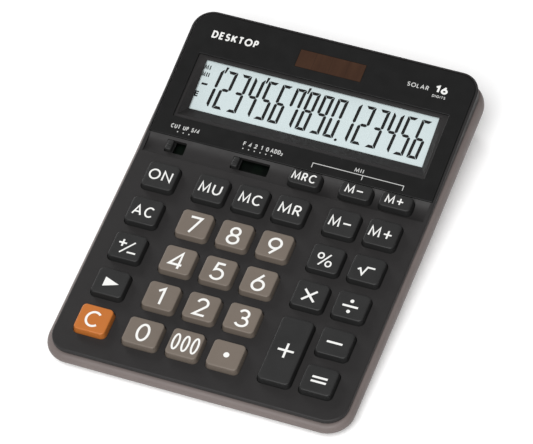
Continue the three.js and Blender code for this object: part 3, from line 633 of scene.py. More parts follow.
def step_profile():
    """Side profile of the hollow, as [v, w]: a rounded lip, then an arc up to the panel."""
    chord = math.hypot(STEP_DEPTH, STEP_RISE)
    radius = (chord * chord / 4 + STEP_SAG * STEP_SAG) / (2 * STEP_SAG)
    tilt = math.atan2(STEP_RISE, STEP_DEPTH)
    half = math.asin(chord / 2 / radius)
    centre_v = STEP_FRONT + STEP_DEPTH / 2 - (radius - STEP_SAG) * math.sin(tilt)
    centre_w = STEP_RISE / 2 + (radius - STEP_SAG) * math.cos(tilt)
    fall = half - tilt
    reach = LIP_RADIUS * math.tan(fall / 2)
    turn = np.linspace(0, fall, 7)
    lip_v = STEP_FRONT - reach + LIP_RADIUS * np.sin(turn)
    lip_w = LIP_RADIUS * (np.cos(turn) - 1)
    start = tilt - half + 1.6 * reach / radius
    sweep = np.linspace(start, tilt + half, 14)
    arc_v = centre_v + radius * np.sin(sweep)
    arc_w = centre_w - radius * np.cos(sweep)
    rear = STEP_FRONT + STEP_DEPTH
    lid = [[rear, OVER], [STEP_FRONT - reach, OVER]]
    return np.vstack([np.column_stack([lip_v, lip_w]), np.column_stack([arc_v, arc_w]), lid])


def step_hollow():
    profile = step_profile()
    half = CASE_WIDTH / 2 - WALL - FIT_GAP
    sections = np.array([np.column_stack([np.full(len(profile), x), profile]) for x in (-half, half)])
    vertices, faces = tube(sections, False)
    return DECK.world(vertices), faces


def key_box(node):
    """Centre and size of a key's cap on the deck, and its flange's top."""
    low, high = extent(node, DECK)
    centre = (low[:2] + high[:2]) / 2
    width, depth = high[:2] - low[:2] - 2 * FLANGE_REACH
    return centre, width, depth, low[2] + FLANGE_THICKNESS


def key_hole(node):
    centre, width, depth, _ = key_box(node)
    clear = 2 * HOLE_CLEARANCE
    points = outline(width + clear, depth + clear, KEY_CORNER + HOLE_CLEARANCE, 7, (), centre)
    return prism(points, -UNDER, OVER, DECK)


def switch_slot(name):
    """Slot over a switch's whole travel, read from its joint's range."""
    low, high = extent(f"{name}_switch_knob", DECK)
    joint = next(joint for joint in frame["joints"] if joint["child"] == f"{name}_switch")
    travel = joint["range_m"][1]
    centre = ((low[0] + high[0] + travel) / 2, (low[1] + high[1]) / 2)
    width = KNOB_WIDTH + travel + 2 * KNOB_SLACK
    points = outline(width, KNOB_LENGTH + 2 * KNOB_SLACK, SLOT_CORNER, 5, (), centre)
    return prism(points, -UNDER, OVER, DECK)


def node_block(node, slope, grow, low, high):
    """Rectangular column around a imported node."""
    start, end = extent(node, slope)
    size = end - start + 2 * grow
    points = outline(size[0], size[1], 0.0, 0, (), (start[:2] + end[:2]) / 2)
    return prism(points, low, high, slope)


def upper_case():
    """Hollow shell with its openings. The recess is cut last, so that no later cut splits its edges."""
    panel_seat = prism(panel_outline(PANEL_GAP), -PANEL_THICKNESS - PANEL_GAP, OVER, PANEL)
    frame_room = node_block("lcd_frame", VIEW, FIT_GAP, -30 * MM, -0.05 * MM)
    solar_hole = node_block("solar_cell", PANEL, SOLAR_GAP, -UNDER, OVER)
    slots = gather([switch_slot("rounding"), switch_slot("decimal")])
    holes = gather([key_hole(node) for node in KEY_NODES])
    obj = piece("case_top", case_block())
    carve(obj, "DIFFERENCE", panel_seat, case_room(), frame_room)
    carve(obj, "UNION", tub())
    carve(obj, "DIFFERENCE", solar_hole, step_hollow(), slots, holes, well())
    even_normals(obj)
    settle(obj, "case", "dark_case", "upper_case")


# ---- Lower case ----
def fall_from_seam(front, rear):
    """Depth below the seam, growing evenly from front to rear."""
    def height(y):
        share = (y - CASE_LOW[1]) / CASE_DEPTH
        return seam_height(y) - front - (rear - front) * share
    return height


def lower_case_rings():
    """Rings up the outside, from the base over the band to the seam, and down the inside."""
    floor = FOOT_HEIGHT
    base = BAND_BULGE - HULL_INSET
    cuts = (STEP_Y,)
    widest = fall_from_seam(BAND_DROP_FRONT, BAND_DROP_REAR)

    def turn_in(y):
        return np.maximum(fall_from_seam(TURN_IN_FRONT, TURN_IN_REAR)(y), floor + TURN_IN_LEAST)

    rings = [
        case_ring(base, floor, cuts),
        case_ring(base + BASE_EDGE / 2, floor + BASE_EDGE / 10, cuts),
        case_ring(base + BASE_EDGE, floor + BASE_EDGE / 3, cuts),
    ]
    for turn in np.linspace(0, math.pi / 2, 5):
        inset = TURN_IN_ROUND * (1 - math.sin(turn))
        share = BAND_FULLNESS * math.sin(turn) + (1 - BAND_FULLNESS) * (1 - math.cos(turn))

        def height(y, share=share):
            return turn_in(y) * (1 - share) + widest(y) * share

        rings.append(case_ring(BAND_BULGE - inset, height, cuts))
    for turn in np.linspace(math.pi / 2, 0, 9)[1:]:
        share = 1 - math.cos(turn)
        front = BAND_LIP + (BAND_DROP_FRONT - BAND_LIP) * share
        rear = BAND_LIP + (BAND_DROP_REAR - BAND_LIP) * share
        rings.append(case_ring(BAND_BULGE * math.sin(turn), fall_from_seam(front, rear), cuts))
    inner = -WALL - RIM_LAND
    rings += [
        case_ring(inner, fall_from_seam(BAND_LIP, BAND_LIP), cuts),
        case_ring(inner, fall_from_seam(BAND_DROP_FRONT * 0.9, BAND_DROP_REAR), cuts),
        case_ring(base - LOWER_WALL + BASE_EDGE / 2, floor + LOWER_WALL, cuts),
    ]
    return rings


def screw_wells(obj):
    """A post around each screw, with a wide hole for its head and a narrow one for its shank."""
    top = FOOT_HEIGHT + LOWER_WALL + WELL_HEIGHT
    screws = [node for node in frame["nodes"] if node.startswith("case_screw")]
    centres = [tuple(np.mean(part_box(node), axis=0)[:2]) for node in screws]
    posts = [prism(circle(WELL_RADIUS, 6, at), FOOT_HEIGHT + 0.3 * MM, top) for at in centres]
    heads = [prism(circle(HEAD_HOLE_RADIUS, 6, at), -PAST, top - HEAD_SEAT) for at in centres]
    shanks = [prism(circle(SHANK_HOLE_RADIUS, 4, at), -2 * PAST, top + PAST) for at in centres]
    carve(obj, "UNION", gather(posts))
    carve(obj, "DIFFERENCE", gather(heads), gather(shanks))


def lower_case():
    """Bulging band under the seam, turned in to a sloping hull and a flat base, hollow inside."""
    obj = piece("case_bottom", loft(lower_case_rings(), CASE_STEPS + 1))
    screw_wells(obj)
    feet = [node for node in frame["nodes"] if node.startswith("foot")]
    carve(obj, "DIFFERENCE", gather([foot_seat(node) for node in feet]), battery_opening())
    even_normals(obj)
    settle(obj, "case", "warm_case", "lower_case")


def foot_seat(node):
    low, high = node_box(node)
    radius = (high[0] - low[0]) / 2 + FIT_GAP
    return prism(circle(radius, 8, tuple((low + high)[:2] / 2)), -PAST, FOOT_HEIGHT + FOOT_SEAT)


def battery_opening():
    low, high = node_box("battery_cover")
    size = (high - low)[:2] + 2 * FIT_GAP
    points = outline(size[0], size[1], 0.0, 0, (), (low + high)[:2] / 2)
    return prism(points, -PAST, FOOT_HEIGHT + LOWER_WALL + PAST)


def foot(node):
    """Rubber button with a rounded foot edge."""
    low, high = node_box(node)
    radius = (high[0] - low[0]) / 2
    centre = tuple((low + high)[:2] / 2)
    edge = 0.5 * MM
    rings = [ring(circle(radius - edge * i, 10, centre), edge * d) for i, d in arc_steps(5)[::-1]]
    rings += [ring(circle(radius - 0.02 * MM, 10, centre), high[2])]
    obj = piece(f"{node}_pad", loft(rings))
    settle(obj, "case", "foot_rubber", node)


# ---- Display panel ----
def flared(points_at, depth, flare):
    """Column that widens by flare over its top, which cuts a rounded edge."""
    rings = [ring(points_at(0.0), -depth)]
    rings += [ring(points_at(inset * flare), -drop * flare) for inset, drop in arc_steps(4)]
    rings += [ring(points_at(flare), 2 * PAST)]
    return rings


def display_panel():
    """Thin plate with a quarter-round edge, its opening and its solar window cut through."""
    rings = [ring(panel_outline(0.0), -PANEL_THICKNESS)]
    for inset, drop in arc_steps(5):
        rings.append(ring(panel_outline(0.0, inset * PANEL_FILLET), -drop * PANEL_FILLET))
    vertices, faces = loft(rings, CASE_STEPS + 1)
    obj = piece("display_fascia", (PANEL.world(vertices), faces))
    centre_v = OPENING_FRONT + OPENING_DEPTH / 2

    def opening(grow):
        width, depth = 2 * (OPENING_HALF + grow), OPENING_DEPTH + 2 * grow
        return outline(width, depth, OPENING_CORNER, 4, (), (0.0, centre_v))

    vertices, faces = loft(flared(opening, 2 * PAST, OPENING_FLARE), 5)
    solar_hole = node_block("solar_window", PANEL, FIT_GAP / 2, -OVER, 2 * PAST)
    carve(obj, "DIFFERENCE", (PANEL.world(vertices), faces), solar_hole)
    even_normals(obj)
    settle(obj, "case", "display_fascia", "display_panel")


# ---- Keys ----
def key_dish(points, centre, width, depth):
    """Fall of a cap's top: deepest in the middle, nothing at its edges."""
    across = (points[:, 0] - centre[0]) / (width / 2)
    along = (points[:, 1] - centre[1]) / (depth / 2)
    return KEY_DISH * np.clip(1 - across ** 2, 0, 1) * np.clip(1 - along ** 2, 0, 1)


def key_cap(node, material_slot):
    """Cap: flange under the deck, drafted sides, a quarter-round edge and a shallow dish."""
    centre, width, depth, flange_top = key_box(node)

    def level(inset, w):
        radius = max(KEY_CORNER - max(inset, 0.0), KEY_CORNER_LEAST)
        return ring(outline(width - 2 * inset, depth - 2 * inset, radius, 7, (), centre), w)

    rings = [
        level(-FLANGE_REACH, flange_top - FLANGE_THICKNESS),
        level(-FLANGE_REACH, flange_top),
        level(0.0, flange_top),
        level(0.0, 0.0),
    ]
    for inset, drop in arc_steps(7):
        rings.append(level(KEY_DRAFT + inset * KEY_FILLET, KEY_HEIGHT - drop * KEY_FILLET))
    flat = KEY_DRAFT + KEY_FILLET
    edge = rings[-1]
    for share in (0.85, 0.65, 0.4, 0.15):
        inner = edge.copy()
        inner[:, :2] = centre + (edge[:, :2] - centre) * share
        inner[:, 2] -= key_dish(inner, centre, width - 2 * flat, depth - 2 * flat)
        rings.append(inner)
    vertices, faces = loft(rings)
    obj = piece(f"{node}_cap", (DECK.world(vertices), faces), 40.0)
    settle(obj, node, material_slot, node)


# ---- Legends: strokes of even width in a unit box ----
def arc(x, y, across, up, start, end):
    """Part of an ellipse between two angles in degrees, a point about every nine degrees."""
    count = max(3, int(abs(end - start) / 9) + 1)
    turn = np.radians(np.linspace(start, end, count))
    return np.column_stack([x + across * np.cos(turn), y + up * np.sin(turn)])


def line(*points):
    return np.array(points, float)


def run(*parts):
    return np.vstack(parts)


OVAL = arc(0.5, 0.5, 0.5, 0.5, 90, 450)
BOWL = run(line((0, 1), (0.5, 1)), arc(0.5, 0.74, 0.42, 0.26, 80, -80), line((0.5, 0.48), (0, 0.48)))

# Each sign: its width for a height of one, and its strokes.
SIGNS = {
    "0": (0.64, [OVAL]),
    "1": (0.36, [line((0, 0.8), (1, 1), (1, 0))]),
    "2": (0.63, [run(arc(0.48, 0.73, 0.46, 0.27, 170, -32), line((0, 0), (1, 0)))]),
    "3": (0.63, [run(arc(0.46, 0.755, 0.42, 0.245, 158, -84), line((0.36, 0.51))),
                 run(line((0.36, 0.51)), arc(0.47, 0.265, 0.53, 0.265, 86, -156))]),
    "4": (0.72, [line((0.77, 0), (0.77, 1), (0, 0.25), (1, 0.25))]),
    "5": (0.64, [run(line((0.9, 1), (0.24, 1)), arc(0.45, 0.32, 0.55, 0.32, 126, -152))]),
    "6": (0.67, [line((0.70, 1), (0.07, 0.47)), arc(0.5, 0.31, 0.5, 0.31, 150, 510)]),
    "7": (0.64, [line((0, 1), (1, 1), (0.3, 0))]),
    "8": (0.65, [arc(0.5, 0.765, 0.4, 0.235, 90, 450), arc(0.5, 0.265, 0.5, 0.265, 90, 450)]),
    "9": (0.69, [line((0.30, 0), (0.93, 0.53)), arc(0.5, 0.69, 0.5, 0.31, -30, 330)]),
    "A": (0.92, [line((0, 0), (0.5, 1), (1, 0)), line((0.17, 0.33), (0.83, 0.33))]),
    "C": (0.90, [arc(0.53, 0.5, 0.53, 0.5, 46, 314)]),
    "D": (0.75, [run(line((0, 0), (0, 1), (0.35, 1)), arc(0.4, 0.5, 0.6, 0.5, 84, -84),
                     line((0.35, 0), (0, 0)))]),
    "E": (0.52, [line((1, 1), (0, 1), (0, 0), (1, 0)), line((0, 0.52), (0.9, 0.52))]),
    "F": (0.50, [line((1, 1), (0, 1), (0, 0)), line((0, 0.52), (0.85, 0.52))]),
    "G": (0.95, [run(arc(0.53, 0.5, 0.53, 0.5, 46, 352), line((1, 0.47), (0.6, 0.47)))]),
    "I": (0.16, [line((0.5, 0), (0.5, 1))]),
    "K": (0.66, [line((0, 0), (0, 1)), line((1, 1), (0, 0.42)), line((0.3, 0.6), (1, 0))]),
    "L": (0.45, [line((0, 1), (0, 0), (1, 0))]),
    "M": (1.00, [line((0, 0), (0.10, 1), (0.5, 0.12), (0.90, 1), (1, 0))]),
    "N": (0.85, [line((0, 0), (0, 1), (1, 0), (1, 1))]),
    "O": (1.05, [OVAL]),
    "P": (0.55, [line((0, 0), (0, 1)), BOWL]),
    "R": (0.60, [line((0, 0), (0, 1)), BOWL, line((0.45, 0.48), (1, 0))]),
    "S": (0.55, [run(arc(0.5, 0.75, 0.45, 0.25, 35, 262), arc(0.5, 0.26, 0.5, 0.26, 82, -150))]),
    "T": (0.62, [line((0, 1), (1, 1)), line((0.5, 1), (0.5, 0))]),
    "U": (0.78, [run(line((0, 1)), arc(0.5, 0.4, 0.5, 0.4, 180, 360), line((1, 1)))]),
    "-": (0.80, [line((0, 0.48), (1, 0.48))]),
    "+": (0.80, [line((0, 0.48), (1, 0.48)), line((0.5, 0.05), (0.5, 0.91))]),
    "/": (0.45, [line((0, 0), (1, 1))]),
    " ": (0.40, []),
}
LETTER_GAP = 0.24


def write(text, left, right, low, high, stroke):
    """Strokes of a line of signs that fills a box, its outer edges included."""
    rise = high - low - stroke
    widths = np.array([SIGNS[sign][0] for sign in text])
    gaps = LETTER_GAP * (len(text) - 1)
    squeeze = (right - left - stroke * len(text)) / (widths.sum() + gaps)
    strokes, x = [], left + stroke / 2
    for sign, width in zip(text, widths * squeeze):
        for shape in SIGNS[sign][1]:
            strokes.append((shape * (width, rise) + (x, low + stroke / 2), stroke))
        x += width + LETTER_GAP * squeeze + stroke
    return strokes


def ribbon(path, stroke, low, high):
    """A flat bar along a path: each point moved half a stroke each way along the mitre of its corner."""
    closed = bool(np.allclose(path[0], path[-1]))
    points = path[:-1] if closed else path
    ahead = np.roll(points, -1, 0) - points
    if not closed:
        ahead[-1] = ahead[-2]
    ahead /= np.linalg.norm(ahead, axis=1)[:, None]
    behind = np.roll(ahead, 1, 0)
    if not closed:
        behind[0] = ahead[0]
    side = np.column_stack([-ahead[:, 1], ahead[:, 0]])
    mitre = side + np.column_stack([-behind[:, 1], behind[:, 0]])
    mitre /= np.linalg.norm(mitre, axis=1)[:, None]
    reach = stroke / 2 / np.clip((mitre * side).sum(1), 0.45, 1.0)
    left, right = points + mitre * reach[:, None], points - mitre * reach[:, None]
    flat = np.stack([left, left, right, right], 1)
    heights = np.broadcast_to([low, high, high, low], flat.shape[:2])
    return tube(np.dstack([flat, heights]), closed)


def printed(name, slope, strokes, dots, body, slot, ink, level=0.0, fall=None):
    """Raised print: strokes are (path, width), dots are (x, v, radius), all in millimetres.

    Each mark stands a little higher than the one before it, so that no two tops share a plane.
    """
    parts = []
    for count, (path, stroke) in enumerate(strokes):
        parts.append(ribbon(path * MM, stroke * MM, -PRINT_ROOT, PRINT_HEIGHT + count * PRINT_RISE))
    top = PRINT_HEIGHT + len(strokes) * PRINT_RISE
    for x, v, radius in dots:
        parts.append(prism(circle(radius * MM, 5, (x * MM, v * MM)), -PRINT_ROOT, top))
    vertices, faces = gather(parts)
    vertices[:, 2] += level
    if fall is not None:
        vertices[:, 2] -= fall(vertices)
    obj = piece(name, (slope.world(vertices), faces))
    settle(obj, body, slot, finish=ink)


DIGIT_SIZE = (6.7, 10.2)
LETTER_HEIGHT = 6.2
SMALL_HEIGHT = 4.9
DIGIT_STROKE = 1.2
LETTER_STROKE = 0.85
SMALL_STROKE = 0.72
SIGN_STROKE = 1.1

# Words and digits on the caps: node, text, place of its middle from the cap's, width, height, stroke.
WORDS = [
    ("key_c", "C", (-0.2, -0.2), 7.9, 9.1, 1.15),
    ("key_0", "0", (0.1, -0.2), 6.6, 10.1, DIGIT_STROKE),
    ("key_000", "000", (0.3, -0.1), 13.5, 9.4, 0.95),
    ("key_1", "1", (-0.8, -0.2), 3.8, DIGIT_SIZE[1], DIGIT_STROKE),
    ("key_2", "2", (0.1, -0.2), *DIGIT_SIZE, DIGIT_STROKE),
    ("key_3", "3", (0.5, -0.2), *DIGIT_SIZE, DIGIT_STROKE),
    ("key_4", "4", (-0.4, -0.5), 7.5, DIGIT_SIZE[1], DIGIT_STROKE),
    ("key_5", "5", (0.2, -0.5), *DIGIT_SIZE, DIGIT_STROKE),
    ("key_6", "6", (0.4, -0.5), 6.9, DIGIT_SIZE[1], DIGIT_STROKE),
    ("key_7", "7", (-0.1, -0.7), *DIGIT_SIZE, DIGIT_STROKE),
    ("key_8", "8", (0.1, -0.7), *DIGIT_SIZE, DIGIT_STROKE),
    ("key_9", "9", (0.1, -0.7), 7.1, DIGIT_SIZE[1], DIGIT_STROKE),
    ("key_ac", "AC", (-0.3, -0.2), 10.9, LETTER_HEIGHT, LETTER_STROKE),
    ("key_on", "ON", (-0.2, 0.2), 11.9, LETTER_HEIGHT, LETTER_STROKE),
    ("key_mu", "MU", (-0.2, 0.1), 11.5, LETTER_HEIGHT, LETTER_STROKE),
    ("key_mc", "MC", (0.1, 0.1), 11.8, LETTER_HEIGHT, LETTER_STROKE),
    ("key_mr", "MR", (-0.3, 0.1), 11.4, LETTER_HEIGHT, LETTER_STROKE),
    ("key_m_minus", "M-", (-0.5, 0.0), 11.5, LETTER_HEIGHT, LETTER_STROKE),
    ("key_m_plus", "M+", (-0.6, 0.0), 11.8, LETTER_HEIGHT, LETTER_STROKE),
    ("key_second_mrc", "MRC", (-0.3, 0.3), 12.6, SMALL_HEIGHT, SMALL_STROKE),
    ("key_second_m_minus", "M-", (-0.6, 0.3), 9.4, SMALL_HEIGHT, SMALL_STROKE),
    ("key_second_m_plus", "M+", (-0.7, 0.3), 9.4, SMALL_HEIGHT, SMALL_STROKE),
]


def level_bar(reach, v=0.0):
    """A level stroke, as long to the left of the middle as to the right."""
    return line((-reach, v), (reach, v)), SIGN_STROKE


# Signs on the caps: node, place, strokes as (path, width), dots as (x, v, radius).
SHAPES = [
    ("key_decimal", (0.3, -0.1), [], [(0, 0.1, 1.45)]),
    ("key_equals", (0.1, 0.0), [level_bar(3.8, 1.2), level_bar(3.8, -1.2)], []),
    ("key_minus", (-0.1, -0.2), [level_bar(3.9)], []),
    ("key_plus", (0.1, -0.2), [level_bar(4.0), (line((0, -4.1), (0, 4.1)), SIGN_STROKE)], []),
    ("key_multiply", (-0.1, -0.4), [
        (line((-3.1, -3.1), (3.1, 3.1)), SIGN_STROKE),
        (line((-3.1, 3.1), (3.1, -3.1)), SIGN_STROKE),
    ], []),
    ("key_divide", (-0.2, -0.4), [level_bar(3.9)], [(0, 3.0, 0.95), (0, -3.0, 0.95)]),
    ("key_sign", (0.0, -0.6), [
        (line((-4.9, 2.1), (-0.9, 2.1)), 0.9),
        (line((-2.9, 0.1), (-2.9, 4.1)), 0.9),
        (line((-2.8, -3.6), (3.1, 3.6)), 0.75),
        (line((0.8, -2.6), (5.2, -2.6)), 0.9),
    ], []),
    ("key_percent", (-0.3, -0.8), [
        (arc(-2.4, 1.9, 1.35, 1.5, 90, 450), 0.75),
        (arc(2.4, -1.9, 1.35, 1.5, 90, 450), 0.75),
        (line((-2.3, -3.5), (2.3, 3.5)), 0.75),
    ], []),
    ("key_root", (-0.1, -1.1), [
        (line((-4.0, 0.1), (-2.9, 0.9), (-1.2, -2.4), (0.4, 2.3), (4.1, 2.3)), 0.9),
    ], []),
]
ARROW = line((-3.7, 2.7), (-3.7, -2.7), (3.9, 0.0))
ARROW_PLACE = (0.4, -0.2)


def legend(node, place, strokes, dots=()):
    """White print on a cap, following its dish."""
    centre, width, depth, _ = key_box(node)
    middle = centre / MM + place
    moved = [(path + middle, stroke) for path, stroke in strokes]
    spots = [(x + middle[0], v + middle[1], radius) for x, v, radius in dots]
    flat = 2 * (KEY_DRAFT + KEY_FILLET)
    printed(f"{node}_legend", DECK, moved, spots, node, "dark_key", "white_ink", KEY_HEIGHT,
            lambda points: key_dish(points, centre, width - flat, depth - flat))


def arrow_legend(node):
    """Solid arrowhead pointing right."""
    centre = key_box(node)[0] + np.array(ARROW_PLACE) * MM
    top = KEY_HEIGHT - KEY_DISH
    arrow = prism(ARROW * MM + centre, top - PRINT_ROOT, top + 2 * PRINT_HEIGHT, DECK)
    obj = piece(f"{node}_legend", arrow)
    settle(obj, node, "dark_key", finish="white_ink")


def legends():
    for node, text, place, width, height, stroke in WORDS:
        legend(node, place, write(text, -width / 2, width / 2, -height / 2, height / 2, stroke))
    for node, place, strokes, dots in SHAPES:
        legend(node, place, strokes, dots)
    arrow_legend("key_backspace")


# ---- Print on the display panel, in millimetres from the middle of its front edge ----
PLACE_DOT = 0.32
PLACE_DOT_V = 2.8
ROUNDING_DOT_X = -59.8
DECIMAL_DOT_X = -25.4
SWITCH_PITCH = 3.0
WORD_LOW, WORD_HIGH = 4.4, 6.8
WORD_STROKE = 0.42
BRACKET_STROKE = 0.36


def decimal_places():
    """The places of the decimal switch: F, four digits, and ADD with a small two."""
    strokes = write("F", -26.1, -24.7, WORD_LOW, WORD_HIGH, WORD_STROKE)
    for count, digit in enumerate("4210"):
        x = -22.5 + SWITCH_PITCH * count
        half = 0.45 if digit == "1" else 0.75
        strokes += write(digit, x - half, x + half, WORD_LOW, WORD_HIGH, WORD_STROKE)
    strokes += write("ADD", -11.9, -6.6, WORD_LOW, WORD_HIGH, WORD_STROKE)
    strokes += write("2", -6.3, -5.3, WORD_LOW - 0.3, WORD_LOW + 1.2, 0.3)
    return strokes


def memory_bracket():
    """Bracket over the three keys of the second memory, with its name."""
    strokes = [
        (line((10.6, 2.1), (10.6, 4.7), (57.4, 4.7), (57.4, 2.1)), BRACKET_STROKE),
        (line((36.4, 2.1), (36.4, 4.6)), BRACKET_STROKE),
    ]
    return strokes + write("MII", 31.4, 36.2, 5.7, 8.0, WORD_STROKE)


def place_dots():
    """A dot at each place of each switch."""
    dots = [(ROUNDING_DOT_X + SWITCH_PITCH * count, PLACE_DOT_V, PLACE_DOT) for count in range(3)]
    return dots + [(DECIMAL_DOT_X + SWITCH_PITCH * count, PLACE_DOT_V, PLACE_DOT) for count in range(6)]


def panel_print():
    title = write("DESKTOP", -63.1, -38.6, 58.6, 62.9, 0.85)
    title += write("16", 54.0, 60.6, 58.9, 63.2, 1.0)
    labels = write("DIGITS", 53.8, 60.6, 56.2, 57.7, 0.28)
    labels += write("SOLAR", 39.9, 51.0, 58.9, 61.4, WORD_STROKE)
    labels += write("CUT UP 5/4", -64.2, -49.3, WORD_LOW, WORD_HIGH, WORD_STROKE)
    labels += decimal_places() + memory_bracket()
    printed("panel_title", PANEL, title, [], "case", "display_fascia", "white_ink")
    printed("panel_labels", PANEL, labels, place_dots(), "case", "display_fascia", "grey_ink")


# ---- Liquid-crystal segments, in millimetres on the view ----
SEGMENTS = {
    "0": "abcdef", "1": "bc", "2": "abged", "3": "abgcd", "4": "fgbc",
    "5": "afgcd", "6": "afgedc", "7": "fabc", "8": "abcdefg", "9": "abcdfg",
}
CELL_WIDTH = 5.5
CELL_HEIGHT = 21.3
CELL_PITCH = 7.28
CELL_STROKE = 1.55
CELL_GAP = 0.12
CELL_SLANT = 0.075
CELL_CHAMFER = 0.35
CELL_LEFT = -57.1
CELL_LOW = 3.7
READING = "1234567890123456"
THOUSANDS_MARKS = (1, 4, 7)
POINT_AFTER = 10
LIT_HEIGHT = 0.02 * MM


def segment_shapes():
    """Outlines of the seven bars of a digit: mitred at the corners, pointed at the waist."""
    w, h, s, g = CELL_WIDTH, CELL_HEIGHT, CELL_STROKE, CELL_GAP
    corner = CELL_CHAMFER
    upper_right = line(
        (w, h - corner), (w - corner, h - corner / 3), (w - s, h - s - g),
        (w - s, h / 2 + s / 2 + g), (w - s / 2, h / 2 + g), (w, h / 2 + s / 2),
    )
    top = line((corner + g, h), (s + g, h - s), (w - s - g, h - s), (w - corner - g, h))
    waist = line(
        (s / 2 + g, h / 2), (s + g, h / 2 - s / 2), (w - s - g, h / 2 - s / 2),
        (w - s / 2 - g, h / 2), (w - s - g, h / 2 + s / 2), (s + g, h / 2 + s / 2),
    )

    def mirrored(shape, across, upward):
        x = w - shape[:, 0] if across else shape[:, 0]
        y = h - shape[:, 1] if upward else shape[:, 1]
        flipped = np.column_stack([x, y])
        return flipped[::-1] if across != upward else flipped

    return {
        "a": top,
        "b": upper_right,
        "c": mirrored(upper_right, False, True),
        "d": mirrored(top, False, True),
        "e": mirrored(upper_right, True, True),
        "f": mirrored(upper_right, True, False),
        "g": waist,
    }


def lit_outlines():
    """Outlines of every lit bar, thousands mark, point and minus sign, upright."""
    shapes = segment_shapes()
    outlines = []
    for count, digit in enumerate(READING):
        left = CELL_LEFT + CELL_PITCH * count
        outlines += [shapes[name] + (left, CELL_LOW) for name in SEGMENTS[digit]]
    for count in THOUSANDS_MARKS:
        x = CELL_LEFT + CELL_PITCH * count - 1.0
        outlines.append(line((x - 0.5, 23.2), (x + 0.3, 23.2), (x + 0.9, 26.6), (x - 0.4, 26.6)))
    point_x = CELL_LEFT + CELL_PITCH * POINT_AFTER - 0.9 + CELL_SLANT * CELL_HEIGHT / 2
    outlines.append(circle(0.75, 3, (point_x, 3.4)))
    outlines.append(line((-60.0, 14.5), (-56.9, 14.5), (-56.7, 15.6), (-59.8, 15.6)))
    return outlines


def lcd_reading():
    """All lit segments as thin plates on the liquid crystal's face, leaning a little to the right."""
    face = extent("lcd_glass", VIEW)[1][2]
    parts = []
    for points in lit_outlines():
        lean = CELL_SLANT * (points[:, 1] - CELL_LOW - CELL_HEIGHT / 2)
        leaning = np.column_stack([points[:, 0] + lean, points[:, 1]])
        parts.append(prism(leaning * MM, face, face + LIT_HEIGHT, VIEW))
    marks = write("MI", -61.3, -57.9, 22.7, 25.6, 0.56) + write("MII", -61.4, -57.4, 18.8, 21.6, 0.56)
    marks += write("E", -61.4, -59.2, 7.6, 10.7, 0.7)
    for count, (path, stroke) in enumerate(marks):
        top = face + LIT_HEIGHT + PRINT_RISE * count
        vertices, faces = ribbon(path * MM, stroke * MM, face, top)
        parts.append((VIEW.world(vertices), faces))
    obj = piece("lcd_reading", gather(parts))
    settle(obj, "case", "lcd", finish="lcd_segment")


# ---- Slide switches ----
def knob(name):
    """Knob on its guide plate: a rounded crown with a raised finger ridge across it."""
    node = f"{name}_switch_knob"
    low, high = extent(node, DECK)
    centre = (low[:2] + high[:2]) / 2
    size = high - low
    plate_top = low[2] + KNOB_PLATE
    crown_top = high[2] - RIDGE_HEIGHT
    parts = [prism(outline(size[0], size[1], 0.2 * MM, 2, (), centre), low[2], plate_top)]

    def crown(inset, w):
        width, length = KNOB_WIDTH - 2 * inset, KNOB_LENGTH - 2 * inset
        return ring(outline(width, length, KNOB_CORNER - inset / 2, 6, (), centre), w)

    def ridge(inset, w):
        width, length = KNOB_WIDTH - 1.3 * MM - 2 * inset, RIDGE_LENGTH - 2 * inset
        return ring(outline(width, length, 0.15 * MM, 3, (), centre), w)

    rings = [crown(0.0, plate_top - 0.2 * MM), crown(0.0, crown_top - KNOB_FILLET)]
    rings += [crown(KNOB_FILLET * inset, crown_top - KNOB_FILLET * drop) for inset, drop in arc_steps(5)[1:]]
    parts.append(loft(rings))
    rings = [ridge(0.0, high[2] - RIDGE_FILLET - 0.5 * MM)]
    rings += [ridge(RIDGE_FILLET * inset, high[2] - RIDGE_FILLET * drop) for inset, drop in arc_steps(4)]
    parts.append(loft(rings))
    vertices, faces = gather(parts)
    obj = piece(f"{name}_knob", (DECK.world(vertices), faces))
    settle(obj, f"{name}_switch", "dark_key", node)


# ---- Studio ----
VIEW_PLACE = (0.52393, -1.10914, 1.51505)
VIEW_AIM = (0.00126, -0.00557, 0.02008)
VIEW_ROLL = math.radians(-5.494)
FOCAL_LENGTH = 271.1
FILM_WIDTH = 36.0
WHITE = (1.0, 1.0, 1.0, 1.0)


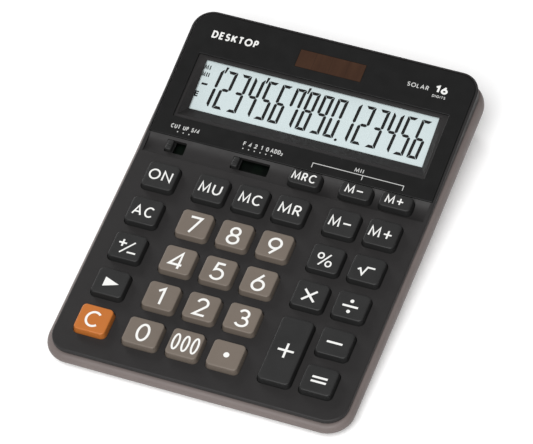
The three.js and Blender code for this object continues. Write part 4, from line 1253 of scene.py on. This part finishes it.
def camera():
    """Long lens, aimed at the middle of the keys and rolled clockwise."""
    data = bpy.data.cameras.new("camera")
    data.lens = FOCAL_LENGTH
    data.sensor_width = FILM_WIDTH
    data.clip_start = 0.05
    data.clip_end = 20.0
    obj = bpy.data.objects.new("camera", data)
    aim = (Vector(VIEW_AIM) - Vector(VIEW_PLACE)).to_track_quat("-Z", "Y").to_matrix().to_4x4()
    obj.matrix_world = Matrix.Translation(VIEW_PLACE) @ aim @ Matrix.Rotation(VIEW_ROLL, 4, "Z")
    bpy.context.scene.collection.objects.link(obj)
    bpy.context.scene.camera = obj


def floor():
    """Wide pale sheet under the feet."""
    size = 3.0
    points = np.array([(size, size), (-size, size), (-size, -size), (size, -size)])
    obj = piece("floor", prism(points, -0.01, 0.0))
    material = moulded("paper", (0.92, 0.92, 0.92), 0.8, gloss=0.2, fine=900.0, strength=0.05, uneven=0.01)
    shader = material.node_tree.nodes["Principled BSDF"]
    dial(shader, {"Emission Color": WHITE, "Emission Strength": 0.16})
    obj.data.materials.append(material)


def softbox(name, place, size, power):
    """Square soft light aimed at the middle of the object."""
    data = bpy.data.lights.new(name, "AREA")
    data.size = size
    data.energy = power
    obj = bpy.data.objects.new(name, data)
    aim = (Vector((0, 0, 0.02)) - Vector(place)).to_track_quat("-Z", "Y").to_matrix().to_4x4()
    obj.matrix_world = Matrix.Translation(place) @ aim
    bpy.context.scene.collection.objects.link(obj)


def studio():
    floor()
    softbox("key_light", (0.2, -1.3, 2.0), 1.6, 62.0)
    softbox("edge_light", (-1.6, 1.3, 0.75), 0.9, 16.0)
    world = bpy.data.worlds.new("studio")
    bpy.context.scene.world = world
    world.use_nodes = True
    dial(world.node_tree.nodes["Background"], {"Color": WHITE, "Strength": 0.22})
    bpy.context.scene.view_settings.view_transform = "Standard"


def calculator():
    finish_packed_nodes()
    upper_case()
    lower_case()
    for node in frame["nodes"]:
        if node.startswith("foot"):
            foot(node)
    display_panel()
    slots = {part["node"]: part["material_slot"] for part in frame["record"]["subparts"]}
    for node in KEY_NODES:
        key_cap(node, slots[node])
    legends()
    panel_print()
    lcd_reading()
    knob("rounding")
    knob("decimal")


camera()
studio()
calculator()
